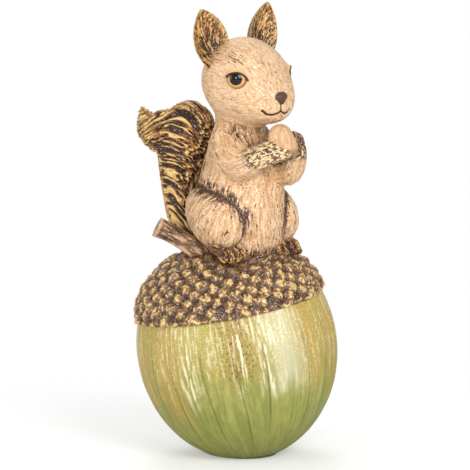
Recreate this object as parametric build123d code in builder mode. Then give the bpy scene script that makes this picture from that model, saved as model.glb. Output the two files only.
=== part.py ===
"""Squirrel sitting on a leaning acorn: a hand-painted cast resin ornament.

Every casting is its own solid, as it is before gluing: a hollow acorn nut on a felt pad, the scaled
cap that drops over the nut's spigot, and the squirrel's torso, head, limbs, ears, eyes and tail.

Row frame, millimetres: +Z up, origin at the centre of the felt pad's underside, and the squirrel's
body faces -Y. The squirrel's parts are drawn about its own upright axis, with its left at +X, and
placed at SEAT. The acorn's parts are drawn about the acorn's own axis and placed at ACORN.
"""

from build123d import *

import math
import os

# ---------------------------------------------------------------- driving dimensions, mm and degrees
NUT_RADIUS = 44.0  # the acorn's widest radius, across its axis
NUT_HALF_LENGTH = 50.4  # from the widest section to the pole, along its axis
NUT_WALL = 4.5
NUT_CENTRE = (-2.8, 2.2, 47.7)
ACORN_LEAN = 10.0  # how far the acorn's axis leans from upright
LEAN_HEADING = 142.0  # the compass direction of that lean, from +X towards +Y
RIM_HEIGHT = 19.0  # the cap's lower edge above the nut's widest section
SPIGOT_RADIUS, SPIGOT_HEIGHT = 36.0, 5.0  # the step on the nut that locates the cap
GLUE_GAP = 0.15
GROOVE_COUNT, GROOVE_DEPTH, GROOVE_WIDTH = 22, 0.45, 0.7
GROOVE_START = -78.0  # degrees from the widest section, close to the lower pole

DOME_RADIUS, DOME_RISE = 41.3, 31.0  # the cap's dome, under its scales
DOME_CENTRE_HEIGHT = 16.2  # above the nut's widest section
CAP_WALL = 6.0
SCALE_COUNT = 245
SCALE_RADIUS, SCALE_BLOCK, SCALE_SLOPE, SCALE_SUNK = 3.1, 2.9, 30.0, 0.8
SCALE_CLEARANCE = 2.6  # between the lowest scales' middles and the rim

FOOT_Z = 0.4  # the felt stands this far proud of the cast foot
PAD_RADIUS, PAD_THICKNESS = 14.0, 1.0
VENT_RADIUS = 4.0  # the casting's vent hole, under the felt

SEAT_X, SEAT_Y = -4.0, -2.0  # the squirrel's upright axis
SKULL_CENTRE = (0.0, -2.8, 166.4)
HEAD_TURN = 6.0  # towards the squirrel's left
EYE_RADIUS = 5.2
PEG_RADIUS, PEG_BOTTOM, PEG_LENGTH = 4.0, 89.0, 10.0
TAIL_BACK_X, TAIL_BACK_Y = -0.42, 0.907  # the tail's own plane, turned to the squirrel's right

lean, heading = math.radians(ACORN_LEAN), math.radians(LEAN_HEADING)
acorn_axis = Vector(
    math.sin(lean) * math.cos(heading),
    math.sin(lean) * math.sin(heading),
    math.cos(lean),
)
lean_line = Vector(math.cos(heading), math.sin(heading), 0)
ACORN = Plane(origin=NUT_CENTRE, x_dir=lean_line.cross(acorn_axis), z_dir=acorn_axis)
SEAT = Location((SEAT_X, SEAT_Y, 0))
SKULL = SEAT * Location(SKULL_CENTRE, (0, 0, HEAD_TURN))

# Where the squirrel and the stalk cover the dome: x, y and radius, from the squirrel's axis.
COVERED = (
    (0.0, 0.0, 22.5),
    (-15.0, -10.0, 10.5),
    (15.0, -10.0, 10.5),
    (-9.5, 20.5, 10.0),
    (-17.0, 10.0, 9.0),
)

# How far past a limb's last station, and the share of its radius there, that round its end off.
END_CAP = ((0.45, 0.89), (0.80, 0.60), (0.97, 0.24))

os.makedirs("parts", exist_ok=True)


# ---------------------------------------------------------------- shared forms
def with_round_ends(stations):
    """Adds shrinking stations beyond both ends, so that the skin closes in a dome."""

    def cap(end, inner):
        centre, wide, deep = end
        away = (Vector(*centre) - Vector(*inner[0])).normalized()
        reach = min(wide, deep)
        return [
            (tuple(Vector(*centre) + away * (reach * far)), wide * share, deep * share)
            for far, share in END_CAP
        ]

    return cap(stations[0], stations[1])[::-1] + stations + cap(stations[-1], stations[-2])


def section_planes(stations, side):
    """A plane across the route at each station, with its x axis as near to side as it can be."""
    points = [Vector(*station[0]) for station in stations]
    last = len(points) - 1
    for i, point in enumerate(points):
        way = (points[min(i + 1, last)] - points[max(i - 1, 0)]).normalized()
        across = Vector(*side) - way * Vector(*side).dot(way)
        yield Plane(origin=point, x_dir=across, z_dir=way)


def skin(stations, side=(1, 0, 0), round_ends=True):
    """Lofts a solid through ellipses: centre, half width along side, half depth across it."""
    route = with_round_ends(stations) if round_ends else stations
    with BuildPart() as form:
        for plane, (_, wide, deep) in zip(section_planes(route, side), route):
            with BuildSketch(plane):
                Ellipse(wide, deep)
        loft()
    return form.part


def fluted_skin(stations, side, flutes, depth, twist):
    """As skin, with ridges that wind round the form by twist degrees from end to end."""
    samples = flutes * 4
    with BuildPart() as form:
        for i, plane in enumerate(section_planes(stations, side)):
            _, wide, deep = stations[i]
            phase = math.radians(twist) * i / (len(stations) - 1)
            outline = []
            for k in range(samples):
                turn = 2 * math.pi * k / samples
                ripple = 1 + depth * math.cos(flutes * (turn - phase))
                outline.append((wide * ripple * math.cos(turn), deep * ripple * math.sin(turn)))
            with BuildSketch(plane):
                with BuildLine():
                    Spline(*outline, periodic=True)
                make_face()
        loft()
    return form.part


def other_side(form):
    """The same form for the other side of the body."""
    return mirror(form, about=Plane.YZ, mode=Mode.PRIVATE)


def nut_flank(inset, start):
    """The nut's outline, inset evenly, from near its lower pole up to the cap's seat."""
    half_length = NUT_HALF_LENGTH - inset
    rim_turn = math.degrees(math.asin(RIM_HEIGHT / half_length))
    return EllipticalCenterArc(
        (0, 0), NUT_RADIUS - inset, half_length, start_angle=start, arc_size=rim_turn - start
    )


# ---------------------------------------------------------------- acorn nut: hollow shell with a spigot
with BuildPart() as nut_shell:
    with BuildSketch(Plane.XZ):
        with BuildLine():
            flank = nut_flank(0, -90)
            step = Polyline(
                flank @ 1,
                (SPIGOT_RADIUS, RIM_HEIGHT),
                (SPIGOT_RADIUS, RIM_HEIGHT + SPIGOT_HEIGHT),
                (0, RIM_HEIGHT + SPIGOT_HEIGHT),
            )
            Line(step @ 1, flank @ 0)
        make_face()
    revolve(axis=Axis.Z)
    with BuildSketch(Plane.XZ):
        with BuildLine():
            hollow = EllipticalCenterArc(
                (0, 0),
                NUT_RADIUS - NUT_WALL,
                NUT_HALF_LENGTH - NUT_WALL * 2,
                start_angle=-90,
                arc_size=110,
            )
            roof = Line(hollow @ 1, (0, (hollow @ 1).Y))
            Line(roof @ 1, hollow @ 0)
        make_face()
    revolve(axis=Axis.Z, mode=Mode.SUBTRACT)

# One groove is the crescent between the flank and an inset copy of it, as wide as a saw cut.
with BuildPart() as groove:
    with BuildSketch(Plane.XZ):
        with BuildLine():
            proud = nut_flank(-1, GROOVE_START)
            cut = nut_flank(GROOVE_DEPTH, GROOVE_START)
            Line(proud @ 0, cut @ 0)
            Line(proud @ 1, cut @ 1)
        make_face()
    extrude(amount=GROOVE_WIDTH / 2, both=True)

with BuildPart() as grooved_shell:
    add(nut_shell.part)
    with PolarLocations(0, GROOVE_COUNT):
        add(groove.part, mode=Mode.SUBTRACT)

with BuildPart() as acorn_nut:
    with Locations(ACORN):
        add(grooved_shell.part)
    split(bisect_by=Plane.XY.offset(FOOT_Z), keep=Keep.TOP)
    Cylinder(PAD_RADIUS + GLUE_GAP, PAD_THICKNESS * 2, mode=Mode.SUBTRACT)
    Cylinder(VENT_RADIUS, NUT_WALL * 6, mode=Mode.SUBTRACT)
acorn_nut.part.label = "acorn_nut"
export_step(acorn_nut.part, "parts/acorn_nut.step")

with BuildPart() as felt_pad:
    Cylinder(PAD_RADIUS, PAD_THICKNESS, align=(Align.CENTER, Align.CENTER, Align.MIN))
felt_pad.part.label = "felt_pad"
export_step(felt_pad.part, "parts/felt_pad.step")

# ---------------------------------------------------------------- acorn cap: a cup under a coat of scales
seat_top = RIM_HEIGHT + SPIGOT_HEIGHT + GLUE_GAP
rim_turn = math.degrees(math.asin((RIM_HEIGHT - DOME_CENTRE_HEIGHT) / DOME_RISE))
cup_rise = DOME_RISE - CAP_WALL
cup_turn = math.degrees(math.asin((seat_top - DOME_CENTRE_HEIGHT) / cup_rise))
dome_centre = (0, DOME_CENTRE_HEIGHT)

# The dome's outside as a solid, which trims what stands on the cap. Its surface stays in two halves,
# because one that closes on itself does not keep several hundred scales through an export.
with BuildPart() as dome_block:
    for facing in (1, -1):
        with BuildSketch(Plane(origin=(0, 0, 0), x_dir=(facing, 0, 0), z_dir=(0, -facing, 0))):
            with BuildLine():
                crown = EllipticalCenterArc(
                    dome_centre,
                    DOME_RADIUS,
                    DOME_RISE,
                    start_angle=rim_turn,
                    arc_size=90 - rim_turn,
                )
                Polyline(crown @ 1, (0, RIM_HEIGHT), crown @ 0)
            make_face()
        revolve(axis=Axis.Z, revolution_arc=180, clean=False)

with BuildPart() as cup_core:
    with BuildSketch(Plane.XZ):
        with BuildLine():
            ceiling = EllipticalCenterArc(
                dome_centre,
                DOME_RADIUS - CAP_WALL,
                cup_rise,
                start_angle=cup_turn,
                arc_size=90 - cup_turn,
            )
            Polyline(
                ceiling @ 1,
                (0, RIM_HEIGHT),
                (SPIGOT_RADIUS + GLUE_GAP, RIM_HEIGHT),
                (SPIGOT_RADIUS + GLUE_GAP, seat_top),
                ceiling @ 0,
            )
        make_face()
    revolve(axis=Axis.Z)

with BuildPart() as cup:
    add(dome_block.part, clean=False)
    add(cup_core.part, mode=Mode.SUBTRACT, clean=False)
    with Locations(ACORN.location.inverse() * Location((SEAT_X, SEAT_Y, PEG_BOTTOM))):
        Cylinder(PEG_RADIUS + GLUE_GAP, PEG_LENGTH * 2, mode=Mode.SUBTRACT)

with BuildPart() as scale_block:
    with BuildSketch():
        RegularPolygon(SCALE_RADIUS, 4)
    extrude(amount=SCALE_BLOCK, taper=SCALE_SLOPE)


def scale_seats():
    """Planes for the scales: a sunflower spiral of equal areas, from the apex to the rim."""
    golden_turn = math.pi * (3 - math.sqrt(5))
    lowest_up = (RIM_HEIGHT - DOME_CENTRE_HEIGHT + SCALE_CLEARANCE) / DOME_RISE
    for k in range(SCALE_COUNT):
        up = 1 - (k + 0.5) / SCALE_COUNT * (1 - lowest_up)
        out = math.sqrt(1 - up * up)
        turn = Vector(math.cos(k * golden_turn), math.sin(k * golden_turn), 0)
        normal = (turn * (out / DOME_RADIUS) + Vector(0, 0, up / DOME_RISE)).normalized()
        place = turn * (DOME_RADIUS * out) + Vector(0, 0, DOME_RISE * up + DOME_CENTRE_HEIGHT)
        at = ACORN.from_local_coords(place)
        if all(math.hypot(at.X - SEAT_X - x, at.Y - SEAT_Y - y) > reach for x, y, reach in COVERED):
            yield Plane(
                origin=place - normal * SCALE_SUNK,
                x_dir=Vector(-turn.Y, turn.X, 0),
                z_dir=normal,
            )


with BuildPart() as scaled_cup:
    add(cup.part, clean=False)
    with Locations(*scale_seats()):
        add(scale_block.part, clean=False)

with BuildPart() as acorn_cap:
    with Locations(ACORN):
        add(scaled_cup.part, clean=False)
acorn_cap.part.label = "acorn_cap"
export_step(acorn_cap.part, "parts/acorn_cap.step")

dome = dome_block.part.moved(ACORN.location)

# ---------------------------------------------------------------- forms that trim each other
stalk_form = fluted_skin(
    [
        ((-11.5, 4.8, 86.5), 6.5, 5.5),
        ((-18.5, 7.4, 92.4), 5.2, 4.8),
        ((-25.5, 10.6, 97.4), 4.3, 4.2),
        ((-30.5, 13.4, 100.6), 4.2, 4.2),
        ((-33.8, 15.6, 102.6), 4.7, 4.5),
    ],
    side=(0.5, -0.87, 0),
    flutes=7,
    depth=0.05,
    twist=25,
)

# Pear-shaped body: height, how far back its middle is, half width, half depth.
TORSO_LEVELS = (
    (84.0, 0.0, 11.0, 10.5),
    (92.0, 0.0, 17.0, 16.5),
    (100.0, 0.0, 19.6, 19.2),
    (109.0, 0.0, 20.2, 19.8),
    (117.0, 0.0, 19.3, 19.0),
    (125.0, 0.4, 17.2, 17.2),
    (133.0, 0.8, 14.6, 15.0),
    (140.0, 1.0, 12.2, 12.8),
    (147.0, 0.6, 10.8, 11.4),
    (155.0, -0.6, 10.4, 11.0),
)
torso_form = skin(
    [((0, back, z), wide, deep) for z, back, wide, deep in TORSO_LEVELS], round_ends=False
).moved(SEAT)

# Skull and blunt muzzle: how far forward, how high, half width, half height.
HEAD_LEVELS = (
    (-18.4, 0.3, 4.6, 4.6),
    (-16.6, 0.3, 8.8, 8.6),
    (-13.0, 0.3, 13.6, 13.3),
    (-7.5, 0.2, 17.4, 17.2),
    (-1.0, 0.0, 19.0, 18.8),
    (5.5, -0.6, 18.4, 18.2),
    (11.0, -2.4, 16.4, 16.2),
    (15.0, -4.9, 13.8, 12.6),
    (18.4, -7.0, 11.2, 9.6),
    (20.8, -8.0, 8.4, 7.2),
    (22.3, -8.2, 4.6, 4.0),
)
NOSE_STATIONS = [((0, -20.0, -5.0), 2.6, 2.3), ((0, -21.6, -5.0), 2.8, 2.2)]
with BuildPart() as skull:
    add(skin([((0, -fore, up), w, h) for fore, up, w, h in HEAD_LEVELS], round_ends=False))
    add(skin(NOSE_STATIONS))
head_form = skull.part.moved(SKULL)

# The right haunch, from the hip down and forward to the knee.
thigh_form = skin(
    [
        ((-12.5, 11.0, 111.0), 7.5, 8.6),
        ((-13.4, 5.5, 109.5), 9.8, 12.2),
        ((-14.0, -0.5, 107.0), 10.6, 13.4),
        ((-14.5, -5.8, 104.8), 9.8, 12.2),
        ((-14.8, -9.4, 103.2), 7.8, 9.8),
    ]
)

# The right hind foot: an instep, and four toes that follow the cap's slope.
with BuildPart() as right_foot:
    add(
        skin(
            [
                ((-13.2, 2.0, 97.0), 5.4, 4.2),
                ((-14.2, -4.0, 96.0), 6.2, 4.8),
                ((-14.8, -8.8, 94.4), 6.4, 4.4),
            ]
        )
    )
    for toe in range(4):
        fan = toe - 1.5
        knuckle = (-14.6 + fan * 2.9, -8.6, 94.4)
        middle = (-15.0 + fan * 3.3, -12.2, 93.2)
        tip = (-15.3 + fan * 3.6, -15.6 + abs(fan) * 0.7, 90.6)
        add(skin([(knuckle, 1.9, 2.7), (middle, 1.9, 2.7), (tip, 1.6, 2.0)]))

# Right arm: upper arm, raised elbow, and a forearm that reaches across under the nut.
arm_right_form = skin(
    [
        ((-9.5, -1.0, 138.5), 5.6, 6.0),
        ((-12.4, -8.5, 134.5), 5.8, 6.2),
        ((-13.0, -16.0, 131.2), 5.2, 5.5),
        ((-10.6, -21.5, 134.0), 4.7, 4.8),
        ((-7.0, -26.0, 137.2), 4.4, 4.4),
        ((-3.2, -29.6, 138.4), 4.2, 3.9),
        ((0.2, -32.0, 138.2), 3.5, 3.1),
    ],
    side=(0, 0.3, 1),
).moved(SEAT)

# Left arm: upper arm, low elbow, and a forearm that comes up to the nut's far side.
arm_left_form = skin(
    [
        ((9.5, -1.0, 138.5), 5.6, 6.0),
        ((12.0, -8.6, 132.5), 5.8, 6.2),
        ((11.8, -15.8, 127.4), 5.5, 5.8),
        ((10.8, -21.2, 127.2), 5.2, 5.4),
        ((9.8, -25.6, 131.6), 4.8, 4.8),
        ((8.6, -28.2, 137.0), 4.4, 4.3),
        ((7.2, -29.4, 142.2), 3.8, 3.5),
    ]
).moved(SEAT)

# A hazelnut: a round shoulder on top that draws in to a blunt lower end.
held_nut_form = skin(
    [
        ((0.6, -29.4, 141.4), 3.4, 3.4),
        ((0.3, -29.2, 143.6), 4.9, 4.9),
        ((0.0, -29.0, 146.0), 5.4, 5.4),
        ((-0.2, -28.8, 148.2), 4.7, 4.7),
    ]
).moved(SEAT)


def tail_stations(levels):
    """Stations in the tail's plane: how far back, how high, half width across it, half depth."""
    return [
        ((TAIL_BACK_X * back, TAIL_BACK_Y * back, z), wide, deep) for back, z, wide, deep in levels
    ]


# An upright brush that swells to a rounded top, and the end that curls off it backwards.
BRUSH_LEVELS = (
    (20.5, 92.0, 6.0, 5.5),
    (25.0, 98.5, 7.6, 6.8),
    (28.0, 105.5, 8.2, 7.2),
    (29.3, 114.0, 8.7, 7.6),
    (29.6, 123.0, 9.8, 8.8),
    (28.4, 132.5, 12.0, 11.2),
    (26.6, 142.0, 13.0, 12.6),
    (25.5, 148.8, 11.2, 11.2),
    (25.0, 153.2, 7.4, 7.8),
    (24.8, 156.0, 3.0, 3.2),
)
CURL_LEVELS = (
    (27.0, 139.5, 10.0, 9.8),
    (34.0, 140.5, 10.4, 10.4),
    (40.0, 141.6, 9.0, 9.6),
    (44.2, 143.4, 6.8, 7.6),
    (46.8, 146.4, 4.2, 4.6),
    (48.3, 149.2, 2.0, 2.2),
    (48.9, 150.8, 0.7, 0.8),
)
tail_across = (TAIL_BACK_Y, -TAIL_BACK_X, 0)
with BuildPart() as brush:
    add(fluted_skin(tail_stations(BRUSH_LEVELS), tail_across, flutes=14, depth=0.05, twist=110))
    add(fluted_skin(tail_stations(CURL_LEVELS), tail_across, flutes=10, depth=0.06, twist=70))
tail_form = brush.part.moved(SEAT)

# ---------------------------------------------------------------- stalk, torso and head
with BuildPart() as torso:
    add(torso_form)
    add(dome, mode=Mode.SUBTRACT)
    add(head_form, mode=Mode.SUBTRACT)
    with Locations((SEAT_X, SEAT_Y, PEG_BOTTOM)):
        Cylinder(PEG_RADIUS, PEG_LENGTH, align=(Align.CENTER, Align.CENTER, Align.MIN))
torso.part.label = "torso"
export_step(torso.part, "parts/torso.step")

with BuildPart() as cap_stalk:
    add(stalk_form)
    add(dome, mode=Mode.SUBTRACT)
    add(torso_form, mode=Mode.SUBTRACT)
cap_stalk.part.label = "cap_stalk"
export_step(cap_stalk.part, "parts/cap_stalk.step")

with BuildPart() as right_eye:
    with Locations((-13.6, -9.2, 3.0)):
        Sphere(EYE_RADIUS)

# A leaf rolled into a cup: share of the way to the tip, half width, bulge of its back, hollow.
EAR_ROOT, EAR_TIP, EAR_TURN = (-12.9, 3.0, 8.0), (-20.2, 6.2, 32.0), 5.0
EAR_CRESCENTS = (
    (0.00, 6.0, 5.4, 2.0),
    (0.18, 8.0, 7.0, 3.6),
    (0.38, 9.2, 7.6, 4.4),
    (0.58, 8.6, 6.8, 4.0),
    (0.76, 6.6, 5.0, 2.9),
    (0.90, 3.8, 3.0, 1.5),
    (0.97, 1.7, 1.6, 0.6),
    (1.00, 0.6, 0.8, 0.1),
)
ear_way = Vector(*EAR_TIP) - Vector(*EAR_ROOT)
ear_opening = Vector(-math.sin(math.radians(EAR_TURN)), -math.cos(math.radians(EAR_TURN)), 0)
ear_side = ear_opening.cross(ear_way)
with BuildPart() as right_ear:
    for share, half, bulge, hollow in EAR_CRESCENTS:
        place = Vector(*EAR_ROOT) + ear_way * share
        with BuildSketch(Plane(origin=place, x_dir=ear_side, z_dir=ear_way)):
            with BuildLine():
                ThreePointArc((-half, 0), (0, -bulge), (half, 0))
                ThreePointArc((-half, 0), (0, -hollow), (half, 0))
            make_face()
    loft()

with BuildPart() as head:
    add(head_form)
    for eyeball in (right_eye.part, other_side(right_eye.part)):
        add(eyeball.moved(SKULL), mode=Mode.SUBTRACT)
head.part.label = "head"
export_step(head.part, "parts/head.step")

# ---------------------------------------------------------------- pairs
for side, turned in (("right", lambda form: form), ("left", other_side)):
    with BuildPart() as eye:
        add(turned(right_eye.part).moved(SKULL))
    eye.part.label = f"eye_{side}"
    export_step(eye.part, f"parts/eye_{side}.step")

    with BuildPart() as ear:
        add(turned(right_ear.part).moved(SKULL))
        add(head_form, mode=Mode.SUBTRACT)
    ear.part.label = f"ear_{side}"
    export_step(ear.part, f"parts/ear_{side}.step")

    haunch = turned(thigh_form).moved(SEAT)
    with BuildPart() as thigh:
        add(haunch)
        for neighbour in (torso_form, dome, tail_form, stalk_form):
            add(neighbour, mode=Mode.SUBTRACT)
    thigh.part.label = f"thigh_{side}"
    export_step(thigh.part, f"parts/thigh_{side}.step")

    with BuildPart() as foot:
        add(turned(right_foot.part).moved(SEAT))
        for neighbour in (haunch, torso_form, dome):
            add(neighbour, mode=Mode.SUBTRACT)
    foot.part.label = f"foot_{side}"
    export_step(foot.part, f"parts/foot_{side}.step")

for side, limb in (("right", arm_right_form), ("left", arm_left_form)):
    with BuildPart() as arm:
        add(limb)
        add(torso_form, mode=Mode.SUBTRACT)
        add(held_nut_form, mode=Mode.SUBTRACT)
        if side == "right":
            add(arm_left_form, mode=Mode.SUBTRACT)
    arm.part.label = f"arm_{side}"
    export_step(arm.part, f"parts/arm_{side}.step")

# ---------------------------------------------------------------- nut in the paws, and tail
with BuildPart() as held_nut:
    add(held_nut_form)
    add(head_form, mode=Mode.SUBTRACT)
held_nut.part.label = "held_nut"
export_step(held_nut.part, "parts/held_nut.step")

with BuildPart() as tail:
    add(tail_form)
    for neighbour in (torso_form, dome, stalk_form):
        add(neighbour, mode=Mode.SUBTRACT)
tail.part.label = "tail"
export_step(tail.part, "parts/tail.step")
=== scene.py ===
"""Looks of the squirrel on its acorn: a cast resin ornament, painted by hand and dusted with glitter.

Every casting is worked out in millimetres in the row frame, from its CAD solid's stations or close ones.
The squirrel's castings are distance fields, so that neighbours run into each other in soft fillets.
Each is meshed by surface nets, then combed: noise smeared along the way the fur lies gives both the
relief and the paint's brush strokes. The ears, eyes, stalk, acorn and felt are curved grids of points.
"""

import math

import bpy
import numpy as np
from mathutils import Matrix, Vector


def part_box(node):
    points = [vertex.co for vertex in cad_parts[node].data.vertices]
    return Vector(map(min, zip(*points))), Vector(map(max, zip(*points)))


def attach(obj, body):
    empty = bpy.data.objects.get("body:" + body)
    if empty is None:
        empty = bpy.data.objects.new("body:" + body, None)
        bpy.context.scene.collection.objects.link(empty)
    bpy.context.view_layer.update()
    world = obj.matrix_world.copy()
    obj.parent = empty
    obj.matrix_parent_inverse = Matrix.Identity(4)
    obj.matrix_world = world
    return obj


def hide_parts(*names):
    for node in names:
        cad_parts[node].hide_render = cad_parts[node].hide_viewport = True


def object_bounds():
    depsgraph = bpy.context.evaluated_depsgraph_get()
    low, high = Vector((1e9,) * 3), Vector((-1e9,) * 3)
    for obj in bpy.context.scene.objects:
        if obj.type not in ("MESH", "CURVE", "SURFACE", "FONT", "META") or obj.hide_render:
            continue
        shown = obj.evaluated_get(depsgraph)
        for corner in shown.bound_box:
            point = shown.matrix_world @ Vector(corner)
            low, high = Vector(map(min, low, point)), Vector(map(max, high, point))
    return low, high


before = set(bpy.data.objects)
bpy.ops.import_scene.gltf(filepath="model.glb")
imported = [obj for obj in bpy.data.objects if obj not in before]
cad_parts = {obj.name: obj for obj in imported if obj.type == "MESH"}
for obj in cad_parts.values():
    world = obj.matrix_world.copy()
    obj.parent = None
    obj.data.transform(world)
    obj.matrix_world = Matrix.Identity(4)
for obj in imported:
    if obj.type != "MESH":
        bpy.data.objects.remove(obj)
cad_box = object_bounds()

MM = 0.001
FAR = 50.0  # a distance that stands for "nowhere near", mm

# ---- sizes, mm, as in the CAD or close to it
SEAT = np.array((-4.0, -2.0, 0.0))
SKULL_CENTRE = np.array((0.0, -2.8, 166.4))
HEAD_TURN = math.radians(6.0)
EYE_CENTRE, EYE_RADIUS = np.array((-13.6, -9.2, 3.0)), 5.2
EAR_ROOT, EAR_TIP = np.array((-12.9, 3.0, 8.0)), np.array((-20.2, 6.2, 32.0))
EAR_TURN = math.radians(5.0)
TAIL_BACK = np.array((-0.42, 0.907))

NUT_RADIUS, NUT_HALF_LENGTH = 44.0, 50.4
NUT_CENTRE = np.array((-2.8, 2.2, 47.7))
ACORN_LEAN, LEAN_HEADING = math.radians(10.0), math.radians(142.0)
RIM_HEIGHT, SPIGOT_RADIUS, SPIGOT_HEIGHT, GLUE_GAP = 19.0, 36.0, 5.0, 0.15
DOME_RADIUS, DOME_RISE, DOME_CENTRE_HEIGHT, CAP_WALL = 41.3, 31.0, 16.2, 6.0
SCALE_COUNT, SCALE_CLEARANCE = 245, 2.6
FOOT_Z, PAD_RADIUS, PAD_THICKNESS = 0.4, 14.0, 1.0
COVERED = (
    (0.0, 0.0, 22.5), (-15.0, -10.0, 10.5), (15.0, -10.0, 10.5), (-9.5, 20.5, 10.0),
    (-17.0, 10.0, 9.0),
)

TORSO_LEVELS = (
    (84.0, 0.0, 11.0, 10.5), (92.0, 0.0, 17.0, 16.5), (100.0, 0.0, 19.6, 19.2),
    (109.0, 0.0, 20.2, 19.8), (117.0, 0.0, 19.3, 19.0), (125.0, 0.4, 17.2, 17.2),
    (133.0, 0.8, 14.6, 15.0), (140.0, 1.0, 12.2, 12.8), (147.0, 0.6, 10.8, 11.4),
    (155.0, -0.6, 10.4, 11.0),
)
HEAD_LEVELS = (
    (-18.4, 0.3, 4.6, 4.6), (-16.6, 0.3, 8.8, 8.6), (-13.0, 0.3, 13.6, 13.3),
    (-7.5, 0.2, 17.4, 17.2), (-1.0, 0.0, 19.0, 18.8), (5.5, -0.6, 18.4, 18.2),
    (11.0, -1.9, 16.9, 16.8), (15.0, -4.0, 14.8, 13.8), (18.6, -6.4, 12.2, 10.6),
    (21.2, -7.8, 9.4, 7.9), (22.9, -8.4, 5.6, 4.8),
)
NOSE_TOP = (((0, -20.6, -5.0), 3.2, 2.0), ((0, -22.5, -5.1), 3.5, 1.9))
NOSE_TIP = (((0, -20.4, -6.6), 1.9, 2.0), ((0, -22.3, -6.7), 1.8, 1.7))
THIGH = (
    ((-12.5, 11.0, 111.0), 7.5, 8.6), ((-13.4, 5.5, 109.5), 9.8, 12.2),
    ((-14.0, -0.5, 107.0), 10.6, 13.4), ((-14.5, -5.8, 104.8), 9.8, 12.2),
    ((-14.8, -9.4, 103.2), 7.8, 9.8),
)
INSTEP = (
    ((-13.2, 2.0, 97.0), 5.4, 4.2), ((-14.2, -4.0, 96.0), 6.2, 4.8),
    ((-14.8, -8.8, 94.4), 6.4, 4.4),
)
ARM_RIGHT = (
    ((-9.0, -1.0, 138.5), 5.6, 6.0), ((-11.6, -8.5, 134.0), 6.2, 6.6),
    ((-11.6, -15.2, 131.6), 6.2, 6.2), ((-9.6, -20.6, 133.6), 5.9, 5.6),
    ((-6.8, -25.4, 136.6), 5.5, 5.0), ((-3.6, -29.0, 138.2), 4.8, 4.3),
    ((-0.6, -31.4, 138.4), 3.6, 3.3),
)
ARM_LEFT = (
    ((9.5, -1.0, 138.5), 5.6, 6.0), ((12.0, -8.6, 132.5), 5.8, 6.2),
    ((11.8, -15.8, 127.4), 5.5, 5.8), ((10.8, -21.2, 127.2), 5.2, 5.4),
    ((9.8, -25.6, 131.6), 4.8, 4.8), ((8.6, -28.2, 137.0), 4.4, 4.3),
    ((7.2, -29.4, 142.2), 3.8, 3.5),
)
HELD_NUT = (
    ((3.2, -33.2, 137.8), 1.9, 1.9), ((1.5, -31.6, 140.2), 4.0, 4.0),
    ((-0.4, -29.6, 143.0), 5.5, 5.5), ((-1.2, -29.3, 144.8), 5.3, 5.3),
)
STALK = (
    ((-11.5, 4.8, 86.5), 6.5, 5.5), ((-18.5, 7.4, 92.4), 5.2, 4.8), ((-25.5, 10.6, 97.4), 4.3, 4.2),
    ((-30.5, 13.4, 100.6), 4.2, 4.2), ((-33.8, 15.6, 102.6), 4.7, 4.5),
)
BRUSH_LEVELS = (
    (20.5, 92.0, 6.0, 5.5), (25.0, 98.5, 7.6, 6.8), (28.0, 105.5, 8.2, 7.2),
    (29.3, 114.0, 8.7, 7.6), (29.6, 123.0, 9.8, 8.8), (28.4, 132.5, 12.0, 11.2),
    (26.6, 141.5, 13.0, 12.6), (25.5, 148.0, 11.2, 11.2), (25.0, 152.2, 7.4, 7.8),
    (24.8, 154.8, 3.0, 3.2),
)
CURL_LEVELS = (
    (27.0, 139.5, 10.0, 9.8), (34.0, 140.5, 10.4, 10.4), (40.0, 141.6, 9.0, 9.6),
    (44.2, 143.4, 6.8, 7.6), (46.8, 146.4, 4.2, 4.6), (48.3, 149.2, 2.0, 2.2),
    (48.9, 150.8, 0.7, 0.8),
)
# Share of the way to the tip, half width, bulge of the back, hollow of the front.
EAR_CRESCENTS = (
    (0.00, 6.0, 5.4, 2.0), (0.18, 8.0, 7.0, 3.6), (0.38, 9.2, 7.6, 4.4), (0.58, 8.6, 6.8, 4.0),
    (0.76, 6.6, 5.0, 2.9), (0.90, 3.8, 3.0, 1.5), (0.97, 1.7, 1.6, 0.6), (1.00, 0.6, 0.8, 0.1),
)

# ---- camera, as in the photograph
CAMERA_AZIMUTH, CAMERA_ELEVATION = -38.0, 9.0
CAMERA_DISTANCE = 2600.0
PHOTO_SIZE, PIXELS_PER_MM = 470, 2.27
SENSOR = 36.0
AIM_RIGHT, AIM_UP = -4.4, 96.0  # where the camera looks, along its own right and up


# ---- noise
LATTICE = np.random.default_rng(11).random(64**3, dtype=np.float32)


def noise(points, size):
    """Smooth noise from 0 to 1 with blobs about size mm across."""
    place = np.asarray(points, dtype=np.float32) / np.float32(size)
    cell = np.floor(place).astype(np.int32)
    part = place - cell
    part = (part * part * (3 - 2 * part)).T
    (x0, y0, z0), (x1, y1, z1) = (cell & 63).T, ((cell + 1) & 63).T
    total = 0.0
    for x, wx in ((x0 << 12, 1 - part[0]), (x1 << 12, part[0])):
        for y, wy in ((y0 << 6, 1 - part[1]), (y1 << 6, part[1])):
            row, weight = x + y, wx * wy
            low, high = LATTICE[row + z0], LATTICE[row + z1]
            total = total + weight * (low + (high - low) * part[2])
    return total


def even(values):
    """Values shifted and scaled to a mean of 0 and a spread of 1."""
    return (values - values.mean()) / (values.std() + 1e-9)


def strokes(points, flow, length, width, shift=0.0, steps=9):
    """Noise smeared along flow: even strokes about length by width mm."""
    reach = np.linspace(-0.5, 0.5, steps) * length
    return even(sum(noise(points + flow * s + shift, width) for s in reach))


def ramp(values, start, end):
    """0 below start, 1 above end, smooth between. start may be the larger."""
    t = np.clip((values - start) / (end - start), 0, 1)
    return t * t * (3 - 2 * t)


# ---- forms as distance fields
END_ROUND = 1.2  # of a stack of ellipses, at both ends, mm


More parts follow.
